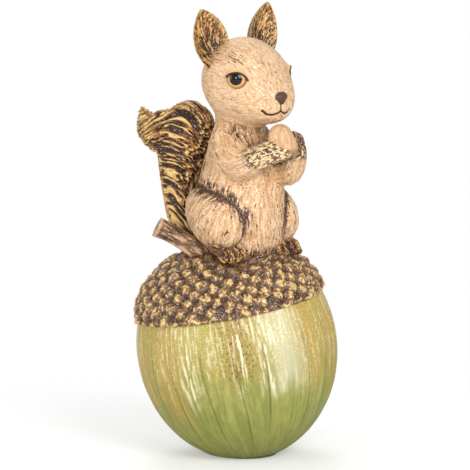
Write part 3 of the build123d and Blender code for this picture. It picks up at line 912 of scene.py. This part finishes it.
def make_held_nut():
    points, normals, faces = mesh_casting("held_nut")
    moved, ridge, flow = comb(points, normals, constant_way(0, 0, 1)(points), 6.0, 0.8, 0.03)
    gilt = dashes(points, flow, 5, 0.8, 0.08)
    # Painted shade: the nut is darker towards its bottom, where it sits between the paws.
    dark = ramp(points[:, 2], 140.6, 138.6) * 0.6
    paint = masks(ridge, dark, gilt)
    new_piece("held_hazelnut", moved, faces, "held_nut", hazel_paint, paint)


# ---- tail
# The locks are arches one above another: height, how far back the arch's crown is, and how steeply
# it falls away in front of the crown and behind it.
LOCK_ARCHES = (
    (96, 34.0, 0.065, 0.0), (106, 34.0, 0.06, 0.0), (118, 34.0, 0.05, 0.0),
    (128, 32.5, 0.045, 0.02), (137, 30.0, 0.04, 0.03), (150, 25.5, 0.06, 0.05),
    (160, 25.5, 0.07, 0.05),
)


def lock_places(points):
    """Where each point is across the locks, along them, and through the tail."""
    p = points - SEAT
    back = p[:, :2] @ TAIL_BACK
    side = p[:, :2] @ np.array((TAIL_BACK[1], -TAIL_BACK[0]))
    heights, crowns, fronts, rears = np.array(LOCK_ARCHES).T
    crown, front, rear = (np.interp(p[:, 2], heights, column) for column in (crowns, fronts, rears))
    off = back - crown
    fall = np.where(off < 0, front, rear) * off * off
    along = off * (1 + 0.7 * np.where(off < 0, front, rear) * np.abs(off))
    return np.stack([p[:, 2] + fall, along, side], axis=1)


def lock_noise(place):
    """Even noises of locks, strands and hairs that lie along the second of the place's three axes."""
    clumps = even(noise(place * (1, 0.07, 0.6), 1.7))
    strands = even(noise(place * (1, 0.04, 0.7) + FLAWS, 0.75))
    hairs = even(noise(place * (1, 0.06, 0.8) + FLAWS * 2, 0.42))
    return np.array([clumps, strands, hairs])


def make_tail():
    points, normals, faces = mesh_casting("tail")
    place = lock_places(points)
    back = (points - SEAT)[:, :2] @ TAIL_BACK
    rear_place = np.stack([place[:, 2], points[:, 2], back], axis=1)
    place[:, 0] += 2.2 * (noise(points, 8.0) - 0.5)
    rear_place[:, 0] += 3.0 * (noise(points + FLAWS, 9.0) - 0.5)
    rear = ramp(np.abs(normals[:, :2] @ TAIL_BACK), 0.75, 0.95) * ramp(points[:, 2], 140, 132)
    clumps, strands, hairs = lock_noise(place) * (1 - rear) + lock_noise(rear_place) * rear
    height = 0.4 * clumps + 0.85 * strands + 0.3 * hairs
    ridge = ramp(height, -1.2, 1.4)
    tip = ramp(back, 40, 44)
    points = points + normals * ((ridge - 0.8) * 1.5)[:, None]
    dark = ramp(height, 0.0, -0.6) * (1 - 0.6 * tip)
    crests = ramp(strands + 0.4 * hairs, 0.45, 0.9)
    low_gold = ramp(points[:, 2], 124, 106) * ramp(strands, -0.5, 0.4) * 0.9
    gilt = 0.9 * crests + tip * 0.3 + low_gold
    paint = masks(ridge, dark, gilt)
    lie = place * (1 - rear[:, None]) + rear_place * rear[:, None]
    paint.update(across=lie[:, 0], along=lie[:, 1], through=lie[:, 2])
    new_piece("tail_locks", points, faces, "tail", tail_fur, paint)


# ---- stalk
STALK_SIDE = np.array((0.5, -0.87, 0.0))
STALK_TURNS = 110
CUT_RINGS = ((0.94, -0.45), (0.8, -0.35), (0.68, 0.5), (0.4, 0.9), (0.12, 0.7))  # size, how deep, mm


def make_stalk():
    rows = station_rows(STALK, 14)
    centres, wide, deep = rows[:, :3] + SEAT, rows[:, 3, None], rows[:, 4, None]
    ways = unit(np.gradient(centres, axis=0))
    across = unit(STALK_SIDE - ways * (ways @ STALK_SIDE)[:, None])
    third = np.cross(ways, across)
    angle = np.linspace(0, 2 * math.pi, STALK_TURNS, endpoint=False)
    length = np.linspace(0, 1, len(rows))[:, None]
    bark = 0.30 * np.cos(7 * angle - 0.4 - 0.44 * length) + 0.22 * np.cos(11 * angle + 1.5 * length)
    u, v = np.cos(angle) * (wide + bark - 0.45), np.sin(angle) * (deep + bark - 0.45)
    shell = centres[:, None] + across[:, None] * u[:, :, None] + third[:, None] * v[:, :, None]
    start, end, way = centres[0], centres[-1], ways[-1]
    cut = [end + (shell[-1] - end) * share - way * sunk for share, sunk in CUT_RINGS]
    points, faces = ring_mesh(np.array([start + (shell[0] - start) * 0.5, *shell, *cut]))
    flow = np.vstack([ways[:1], ways, np.repeat(ways[-1:], len(cut), axis=0)])
    flow = np.vstack([np.repeat(flow, STALK_TURNS, axis=0), flow[:1], flow[-1:]])
    bumps = strokes(points, flow, 5, 0.9)
    out = np.linalg.norm(np.cross(points - end, way), axis=1)
    at_cut = (points - end) @ way > -0.9
    rim = np.where(at_cut, ramp(out, 2.6, 3.4), 0)
    dark = ramp(bumps, -0.6, -1.4) * (1 - rim) + np.where(at_cut, ramp(out, 2.4, 1.4) * 0.7, 0)
    paint = masks(ramp(bumps, -1.1, 1.1), dark, ramp(bumps, 0.9, 1.5) + rim * 0.9)
    new_piece("stalk_bark", points, faces, "cap_stalk", stalk_paint, paint)


def ring_mesh(grid):
    """Quads between rings of points that close on themselves, with a fan at each end."""
    rings, turns = grid.shape[:2]
    here = np.arange(rings * turns).reshape(rings, turns)
    after = np.roll(here, -1, axis=1)
    quads = np.stack([here[:-1], after[:-1], after[1:], here[1:]], axis=-1).reshape(-1, 4)
    points = np.vstack([grid.reshape(-1, 3), grid[0].mean(axis=0), grid[-1].mean(axis=0)])
    first, last = rings * turns, rings * turns + 1
    fans = [[first, after[0, k], here[0, k]] for k in range(turns)]
    fans += [[last, here[-1, k], after[-1, k]] for k in range(turns)]
    return points, quads.tolist() + fans


def turned_profile(profile, turns):
    """A grid of rings: each (radius, height) of the profile turned about +Z."""
    angle = np.linspace(0, 2 * math.pi, turns, endpoint=False)
    radius, height = (np.array(column)[:, None] for column in zip(*profile))
    return np.stack([radius * np.cos(angle), radius * np.sin(angle), height + 0 * angle], axis=-1)


def ellipse(radius, rise, middle, start, end, count):
    """Places (radius, height) on an ellipse about the axis, from one angle to another."""
    return [(radius * math.cos(t), middle + rise * math.sin(t)) for t in np.linspace(start, end, count)]


def flipped(faces):
    return [face[::-1] for face in faces]


SIDES = (("right", np.array((1, 1, 1))), ("left", np.array((-1, 1, 1))))


# ---- ears
EAR_ROWS, EAR_COLUMNS = 110, 78


def ear_points():
    """Rings of points round the ear's crescent sections, from its root to its tip, head-local."""
    way = EAR_TIP - EAR_ROOT
    opening = np.array((-math.sin(EAR_TURN), -math.cos(EAR_TURN), 0.0))
    side = unit(np.cross(opening, way))
    back = unit(np.cross(side, way))
    crescents = smooth_rows(EAR_CRESCENTS, 12).T
    share = np.linspace(0, 1, EAR_ROWS)
    t = np.linspace(-1, 1, EAR_COLUMNS)[:, None]
    inner_t = t[::-1] * 0.93
    rings = []
    for s, half, bulge, hollow in zip(share, *(np.interp(share, crescents[0], row) for row in crescents[1:])):
        middle = EAR_ROOT + way * s
        lip = 0.35 * math.sqrt(max(0.0, 1 - s))
        outer = middle + side * t * half + back * (1 - t * t) * bulge
        inner = middle + side * inner_t * half + back * ((1 - inner_t**2) * hollow + lip - 0.4)
        rings.append(np.vstack([outer, inner]))
    return np.array(rings)


def make_ears():
    grid = ear_points()
    rings, turns = grid.shape[:2]
    points, faces = ring_mesh(grid)
    inner = np.zeros((rings, turns))
    inner[:, EAR_COLUMNS + 3 : -3] = 1
    inner = np.append(inner.ravel(), (0.5, 0.5))
    share = np.append(np.repeat(np.linspace(0, 1, rings), turns), (0, 1))
    there = np.linspace(-1, 1, EAR_COLUMNS)
    across = np.append(np.tile(np.concatenate([there, -there]), rings), (0, 0))
    fan = np.array((-0.8, 0.0, 0.0))
    flow = unit(unit(EAR_TIP - EAR_ROOT) + fan * across[:, None])
    rough = strokes(points, flow, 3.6, 0.5) + 0.4 * strokes(points, flow, 6, 1.1, FLAWS)
    deep_inside = inner * ramp(share, 0.8, 0.45) * ramp(np.abs(across), 0.9, 0.6)
    foot = ramp(share, 0.34, 0.14)
    dark = deep_inside * ramp(rough, 0.5, -0.3) + foot * ramp(rough, 0.7, -0.3)
    dark = dark + dashes(points, flow, 2.6, 0.5, 0.16)
    gilt = (1 - 0.3 * deep_inside) * ramp(rough, 0.2, 0.9) * (0.5 + 0.5 * ramp(share, 0.4, 0.8))
    gilt = gilt + ramp(np.abs(across), 0.9, 0.97) * 0.6
    paint = masks(ramp(rough, -1.4, 1.4), dark, gilt)
    for side, turn in SIDES:
        placed, outward = from_head(points * turn), faces if side == "right" else flipped(faces)
        new_piece(f"ear_{side}_fur", placed, outward, f"ear_{side}", dark_fur, paint)


# ---- eyes
PUPIL_RADIUS = 2.8
EYE_FLAT = 0.22  # how much the eyeball's front is flattened, so that it lies in the face
EYE_RINGS, EYE_TURNS = 48, 96


def make_eyes():
    ball = ellipse(1, 1, 0, math.pi / 2, -math.pi / 2, EYE_RINGS + 2)[1:-1]
    points, faces = ring_mesh(turned_profile(ball, EYE_TURNS))
    off_gaze = np.degrees(np.arccos(np.clip(points[:, 2], -1, 1)))
    for side, turn in SIDES:
        gaze, look = GAZE * turn, LOOK * turn
        level = unit(np.cross(gaze, (0, 0, 1)))
        out = points @ np.array([level, np.cross(level, gaze), gaze]) * EYE_RADIUS
        out = out - (np.maximum(out @ look, 0) * EYE_FLAT)[:, None] * look
        placed = from_head(out + EYE_CENTRE * turn)
        paint = {"off_gaze": off_gaze}
        new_piece(f"eye_{side}_ball", placed, flipped(faces), f"eye_{side}", eye_paint, paint)


def make_eye_paint():
    paint = Paint("glossy_eye_paint")
    off = paint.plus(paint.mask("off_gaze"), paint.times(paint.noise(1.2), 4.0))
    pupil_edge = math.degrees(math.asin(PUPIL_RADIUS / EYE_RADIUS))
    amber = paint.mix(paint.noise(0.8, 3), colour("D48A38"), colour("F6C87C"))
    white = paint.mix(paint.ramp(off, pupil_edge + 8, pupil_edge + 30), amber, colour("E9C497"))
    base = paint.mix(paint.ramp(off, pupil_edge + 4, pupil_edge), white, colour("140F16"))
    rough = paint.plus(0.16, paint.times(paint.noise(0.6), 0.08))
    gloss = {"Specular IOR Level": 0.1, "Coat Weight": 0.6, "Coat Roughness": 0.04}
    return paint.finish(base, rough, paint.bump(paint.noise(1.5), 0.02), gloss)


eye_paint = make_eye_paint()


# ---- acorn
def acorn_axes():
    """Rows: the acorn's own x, y and z axes in the row frame."""
    line = np.array((math.cos(LEAN_HEADING), math.sin(LEAN_HEADING), 0.0))
    z = line * math.sin(ACORN_LEAN) + np.array((0.0, 0.0, math.cos(ACORN_LEAN)))
    x = unit(np.cross(line, z))
    return np.stack([x, np.cross(z, x), z])


ACORN_AXES = acorn_axes()
SEAT_TOP = RIM_HEIGHT + SPIGOT_HEIGHT
NUT_RINGS, NUT_TURNS = 260, 760
CAP_RINGS, CAP_TURNS = 190, 720
GROOVE_DEPTH = 0.4  # mm
NUB_REACH, NUB_HEIGHT, MOST_RELIEF = (2.9, 3.6), (1.6, 2.2), 2.1  # mm


def from_acorn(points):
    return points @ ACORN_AXES + NUT_CENTRE


def make_nut():
    rim = math.asin(RIM_HEIGHT / NUT_HALF_LENGTH)
    flank = ellipse(NUT_RADIUS, NUT_HALF_LENGTH, 0, math.radians(-89.6), rim, NUT_RINGS)
    spigot = [(SPIGOT_RADIUS + 1.5, RIM_HEIGHT), (SPIGOT_RADIUS, RIM_HEIGHT)]
    spigot += [(radius, SEAT_TOP) for radius in (SPIGOT_RADIUS, 18, 0.5)]
    local, faces = ring_mesh(turned_profile(flank + spigot, NUT_TURNS))
    normals = unit(local / np.array((NUT_RADIUS, NUT_RADIUS, NUT_HALF_LENGTH)) ** 2)
    around = np.cross(np.array((0.0, 0.0, 1.0)), normals)
    down = np.cross(normals, unit(around))
    streak = strokes(local, down, 14, 1.1, 0.0, 13)
    fine = strokes(local, down, 9, 0.55, FLAWS, 13)
    groove = nut_grooves(local)
    relief = np.clip(0.06 * streak + 0.04 * fine - GROOVE_DEPTH * groove - 0.1, -0.7, 0.0)
    relief = np.where(local[:, 2] < RIM_HEIGHT - 0.05, relief, 0)
    local = local + normals * relief[:, None]
    points = from_acorn(local)
    in_pocket = np.hypot(points[:, 0], points[:, 1]) < PAD_RADIUS + GLUE_GAP
    points[:, 2] = np.maximum(points[:, 2], np.where(in_pocket, PAD_THICKNESS, FOOT_Z))
    upper = ramp(local[:, 2] + 3 * streak, -24, 8)
    paint = nut_patches(local)
    thin = even(0.5 * streak + fine)
    cream = paint["cream"] * ramp(thin, -0.1, 0.6) + 0.6 * upper * ramp(thin, 0.8, 1.4)
    paint["cream"] = np.clip(cream, 0, 1)
    paint.update(streak=ramp(0.7 * streak + 0.4 * fine, -1.6, 1.6), groove=groove, upper=upper)
    new_piece("acorn_nut_shell", points, faces, "acorn_nut", nut_paint, paint)


GROOVE_TURNS = 18
PATCHES = (  # kind, degrees from straight at the camera, half width, lower end, all about the nut
    ("gold", -46, 9.0, -26.0),
    ("cream", -30, 3.5, -14.0),
    ("umber", 2, 8.5, -8.0),
    ("cream", 3, 2.4, -16.0),
    ("cream", 18, 4.5, -14.0),
    # A pale frosting on the right, partly pale dry brushing and partly painted highlight.
    ("frost_and_highlight", 30, 8.0, -16.0),
    ("gold", 50, 8.0, -18.0),
)
PATCH_REPEATS = 3


def nut_grooves(local):
    """1 in the engraved lines that run down the nut, wavering a little and fading towards their ends."""
    angle = np.arctan2(local[:, 1], local[:, 0])
    height = local[:, 2]
    radius = np.hypot(local[:, 0], local[:, 1])
    depth = np.zeros(len(local))
    rng = np.random.default_rng(5)
    for k in range(GROOVE_TURNS):
        middle = 2 * math.pi * (k + rng.uniform(-0.25, 0.25)) / GROOVE_TURNS
        low, high = rng.uniform(-44, -26), rng.uniform(2, 20)
        waver = 0.012 * np.sin(height / rng.uniform(7, 11) + rng.uniform(0, 6))
        off = np.angle(np.exp(1j * (angle - middle - waver))) * radius
        reach = ramp(height, low - 6, low + 6) * ramp(height, high + 6, high - 6)
        depth = np.maximum(depth, np.exp(-((off / 0.36) ** 2)) * reach)
    return depth


def nut_patches(local):
    """Masks of the cream, gold and umber brushed over the green near the cap, and of a pale frosting that is
    partly painted highlight, by kind.
    """
    to_camera = ACORN_AXES @ np.array(toward(CAMERA_AZIMUTH, 0))
    heading = math.atan2(to_camera[1], to_camera[0])
    angle = np.arctan2(local[:, 1], local[:, 0])
    height = local[:, 2]
    ragged = 9 * (noise(local * (1, 1, 0.15) + FLAWS, 2.2) - 0.5)
    found = {kind: np.zeros(len(local)) for kind in ("cream", "gold", "umber", "frost_and_highlight")}
    for repeat in range(PATCH_REPEATS):
        for kind, degrees, half, low in PATCHES:
            middle = heading + math.radians(degrees) + repeat * 2 * math.pi / PATCH_REPEATS
            off = np.angle(np.exp(1j * (angle - middle))) * NUT_RADIUS
            stripe = np.exp(-((off / half) ** 2)) * ramp(height + ragged, low - 5, low + 7)
            found[kind] = np.maximum(found[kind], stripe)
    return found


def make_nut_paint():
    paint = Paint("acorn_nut_paint")
    streak, groove, upper, umber = (paint.mask(key) for key in ("streak", "groove", "upper", "umber"))
    grain = paint.noise(0.4)
    tone = paint.plus(paint.times(streak, 0.55), paint.times(paint.noise(6.0, 4.0), 0.55))
    base = paint.mix(paint.ramp(tone, 0.1, 1.1), colour("868C40"), colour("A4A454"))
    coats = (
        (upper, 0.55, "C8B05E"),
        (paint.times(umber, paint.ramp(grain, 0.35, 0.55)), 0.85, "9C7626"),
        (paint.times(umber, paint.ramp(paint.noise(0.9, 0.0), 0.62, 0.68)), 0.9, "3E2C10"),
        (paint.times(paint.mask("gold"), paint.ramp(grain, 0.4, 0.6)), 0.75, "C8923C"),
        (paint.mask("cream"), 0.85, "F3EAC6"),
        # pale frosting, partly painted highlight
        (paint.mask("frost_and_highlight"), 0.45, "F0EAD0"),
        (groove, 0.7, "565A26"),
    )
    for mask, share, hex_code in coats:
        base = paint.coat(base, mask, share, hex_code)
    dusting = paint.plus(0.06, paint.times(upper, 0.94))
    dusting = paint.times(dusting, paint.minus(1.0, paint.times(umber, 0.7)))
    rough = paint.plus(0.5, paint.times(grain, 0.15))
    flakes, pale, gold = paint.flakes(0.45, 0.26), colour("FFFBEA"), colour("E2B662")
    return paint.finish_glittered(base, rough, (grain, 0.04), flakes, dusting, 0.8, pale, gold, (0.4, 0.6))


nut_paint = make_nut_paint()


def nub_middles():
    """Where the cap's nubs stand on the dome, acorn-local: the CAD's spiral, covered ones included."""
    golden_turn = math.pi * (3 - math.sqrt(5))
    lowest_up = (RIM_HEIGHT - DOME_CENTRE_HEIGHT + SCALE_CLEARANCE) / DOME_RISE
    k = np.arange(SCALE_COUNT)
    up = 1 - (k + 0.5) / SCALE_COUNT * (1 - lowest_up)
    out = DOME_RADIUS * np.sqrt(1 - up * up)
    turn = k * golden_turn
    return np.stack([out * np.cos(turn), out * np.sin(turn), DOME_RISE * up + DOME_CENTRE_HEIGHT], axis=1)


def make_cap():
    rim_turn = math.asin((RIM_HEIGHT - DOME_CENTRE_HEIGHT) / DOME_RISE)
    outside = ellipse(DOME_RADIUS, DOME_RISE, DOME_CENTRE_HEIGHT, math.radians(89.4), rim_turn, CAP_RINGS)
    lip, cup_top, rise = SPIGOT_RADIUS + GLUE_GAP, SEAT_TOP + GLUE_GAP, DOME_RISE - CAP_WALL
    cup_turn = math.asin((cup_top - DOME_CENTRE_HEIGHT) / rise)
    inside = [(DOME_RADIUS - 1.2, RIM_HEIGHT - 0.02), (lip, RIM_HEIGHT), (lip, cup_top)]
    inside += ellipse(DOME_RADIUS - CAP_WALL, rise, DOME_CENTRE_HEIGHT, cup_turn, math.radians(88), 20)
    local, faces = ring_mesh(turned_profile(outside + inside, CAP_TURNS))
    outer = np.arange(len(local)) < len(outside) * CAP_TURNS
    outer[-2] = True
    centre = np.array((0, 0, DOME_CENTRE_HEIGHT))
    normals = unit((local - centre) / np.array((DOME_RADIUS, DOME_RADIUS, DOME_RISE)) ** 2)
    middles = nub_middles()
    rng = np.random.default_rng(3)
    reach = rng.uniform(*NUB_REACH, len(middles))
    tall = rng.uniform(*NUB_HEIGHT, len(middles))
    coarse = noise(local, 1.7) - 0.5
    rough = noise(local + FLAWS, 1.0) - 0.5
    fine = noise(local + FLAWS * 2, 0.55) - 0.5
    drift = np.stack([noise(local + FLAWS * k, 2.4) for k in (3, 4, 5)], axis=1) - 0.5
    height, top = [], []
    for place in np.array_split(local + 1.6 * drift, 10):
        off = np.sqrt(((place[:, None, :] - middles[None]) ** 2).sum(axis=2))
        share = np.clip(1 - (off / reach) ** 2, 0, None) ** 0.9
        height.append((share * tall).max(axis=1))
        top.append(share.max(axis=1))
    across, back, _ = (from_acorn(local) - SEAT).T
    covered = np.zeros(len(local))
    for x, y, radius in COVERED:
        covered = np.maximum(covered, ramp(np.hypot(across - x, back - y), radius + 1.5, radius - 1.5))
    height, top = np.concatenate(height) * (1 - 0.5 * covered), np.concatenate(top) * (1 - 0.3 * covered)
    edge = ramp(local[:, 2], RIM_HEIGHT + 3.0, RIM_HEIGHT + 0.6)
    scallop = 1.5 * edge * noise(local + FLAWS * 3, 2.0)
    relief = height + 0.9 * coarse + 0.6 * rough + 0.35 * fine + scallop
    relief = np.where(outer, np.clip(relief, 0, MOST_RELIEF), 0)
    points = from_acorn(local + normals * relief[:, None])
    crest = top + 0.6 * rough + 0.5 * fine + 0.3 * coarse + 0.9 * scallop
    dark = ramp(crest, 0.45, 0.1) * np.where(outer, 1 - 0.7 * edge, 0.3)
    paint = masks(ramp(crest, 0.2, 1.1), dark, ramp(crest + 0.7 * fine, 0.82, 1.02))
    new_piece("acorn_cap_nubs", points, flipped(faces), "acorn_cap", cap_paint, paint)


# ---- felt
FELT_SOFT = 0.22  # the rounding of its edge, mm


def make_felt():
    """A die-cut disc with a soft edge, slightly fuzzy all over."""
    paint = Paint("green_felt")
    fibre = paint.noise(0.25, 5.0)
    base = paint.mix(fibre, colour("3C4A2C"), colour("6A7A4C"))
    felt_paint = paint.finish(base, 0.95, paint.bump(fibre, 0.15), {"Sheen Weight": 0.4})
    across = [PAD_RADIUS * share for share in np.linspace(0.02, 0.98, 50)]
    half = PAD_THICKNESS / 2
    edge = ellipse(FELT_SOFT, half - 0.01, half, -math.pi / 2, math.pi / 2, 9)
    profile = [(radius, 0.0) for radius in across]
    profile += [(PAD_RADIUS - FELT_SOFT + out, height) for out, height in edge]
    profile += [(radius, PAD_THICKNESS) for radius in across[::-1]]
    points, faces = ring_mesh(turned_profile(profile, 240))
    fuzz = 0.05 * noise(points, 0.5)
    points[:, 2] += np.where(points[:, 2] < 0.5, fuzz, -fuzz)
    new_piece("felt_disc", points, faces, "felt_pad", felt_paint)


# ---- stage, light and camera
FLOOR_REACH = 3.0  # m
SHADOW_REACH = 0.22  # how far out the floor keeps its shading before it turns plain white, m
CLIP_END = 20.0  # m
LAMP_AIM = Vector((0, 0, 0.11))  # m
# Name, azimuth and elevation in degrees, distance and size in metres, watts.
LAMPS = (
    ("key", -12, 24, 0.95, 0.45, 5.4),
    ("fill", -95, 12, 1.0, 0.6, 2.6),
    ("back", 150, 45, 1.1, 0.6, 4.0),
    ("catch", -44, 11, 1.2, 0.14, 2.4),
)


def make_floor():
    mesh = bpy.data.meshes.new("floor")
    corners = [(x * FLOOR_REACH, y * FLOOR_REACH, 0) for x, y in ((-1, -1), (1, -1), (1, 1), (-1, 1))]
    mesh.from_pydata(corners, [], [(0, 1, 2, 3)])
    paint = Paint("pale_floor")
    paint.fill(paint.shader, {"Base Color": (0.74, 0.74, 0.74, 1), "Roughness": 0.9})
    shaded = paint.shader.outputs[0]
    glow = paint.node("Emission", {"Strength": 0.3}).outputs[0]
    white = paint.node("Emission").outputs[0]
    away = paint.node("VectorMath", {0: paint.place}, operation="LENGTH").outputs["Value"]
    fade = paint.ramp(away, 0.4 * SHADOW_REACH, SHADOW_REACH)
    lit = paint.node("AddShader", {0: shaded, 1: glow}).outputs[0]
    faded = paint.node("MixShader", {0: fade, 1: lit, 2: white}).outputs[0]
    camera_ray = paint.node("LightPath").outputs["Is Camera Ray"]
    seen = paint.node("MixShader", {0: camera_ray, 1: shaded, 2: faded}).outputs[0]
    paint.fill(paint.tree.nodes["Material Output"], {"Surface": seen})
    mesh.materials.append(paint.material)
    floor = bpy.data.objects.new("floor", mesh)
    bpy.context.collection.objects.link(floor)


def make_world():
    world = bpy.data.worlds.new("plain_white")
    bpy.context.scene.world = world
    world.use_nodes = True
    tree = world.node_tree
    path = tree.nodes.new("ShaderNodeLightPath")
    mix = tree.nodes.new("ShaderNodeMix")
    mix.data_type = "RGBA"
    mix.inputs["A"].default_value = (0.5, 0.5, 0.5, 1)
    mix.inputs["B"].default_value = (1, 1, 1, 1)
    tree.links.new(path.outputs["Is Camera Ray"], mix.inputs["Factor"])
    tree.links.new(mix.outputs["Result"], tree.nodes["Background"].inputs["Color"])


def toward(azimuth, elevation):
    a, e = math.radians(azimuth), math.radians(elevation)
    return Vector((math.sin(a) * math.cos(e), -math.cos(a) * math.cos(e), math.sin(e)))


def make_lamp(name, azimuth, elevation, distance, size, watts):
    """A soft square lamp that faces LAMP_AIM."""
    light = bpy.data.lights.new(name, "AREA")
    light.size = size
    light.energy = watts
    lamp = bpy.data.objects.new(name, light)
    way = toward(azimuth, elevation)
    lamp.location = LAMP_AIM + distance * way
    lamp.rotation_euler = way.to_track_quat("Z", "Y").to_euler()
    bpy.context.collection.objects.link(lamp)


def make_camera():
    back = toward(CAMERA_AZIMUTH, CAMERA_ELEVATION)
    right = Vector((-back.y, back.x, 0)).normalized()
    target = right * AIM_RIGHT + back.cross(right) * AIM_UP
    camera = bpy.data.objects.new("camera", bpy.data.cameras.new("camera"))
    camera.location = (target + back * CAMERA_DISTANCE) * MM
    camera.rotation_euler = back.to_track_quat("Z", "Y").to_euler()
    camera.data.sensor_width = SENSOR
    camera.data.lens = SENSOR * PIXELS_PER_MM * CAMERA_DISTANCE / PHOTO_SIZE
    camera.data.clip_end = CLIP_END
    bpy.context.collection.objects.link(camera)
    bpy.context.scene.camera = camera


make_camera()
make_floor()
make_world()
for lamp in LAMPS:
    make_lamp(*lamp)
bpy.context.scene.view_settings.view_transform = "Standard"

make_torso()
make_head()
make_limbs()
make_held_nut()
make_tail()
make_stalk()
make_ears()
make_eyes()
make_nut()
make_cap()
make_felt()

bpy.context.view_layer.update()
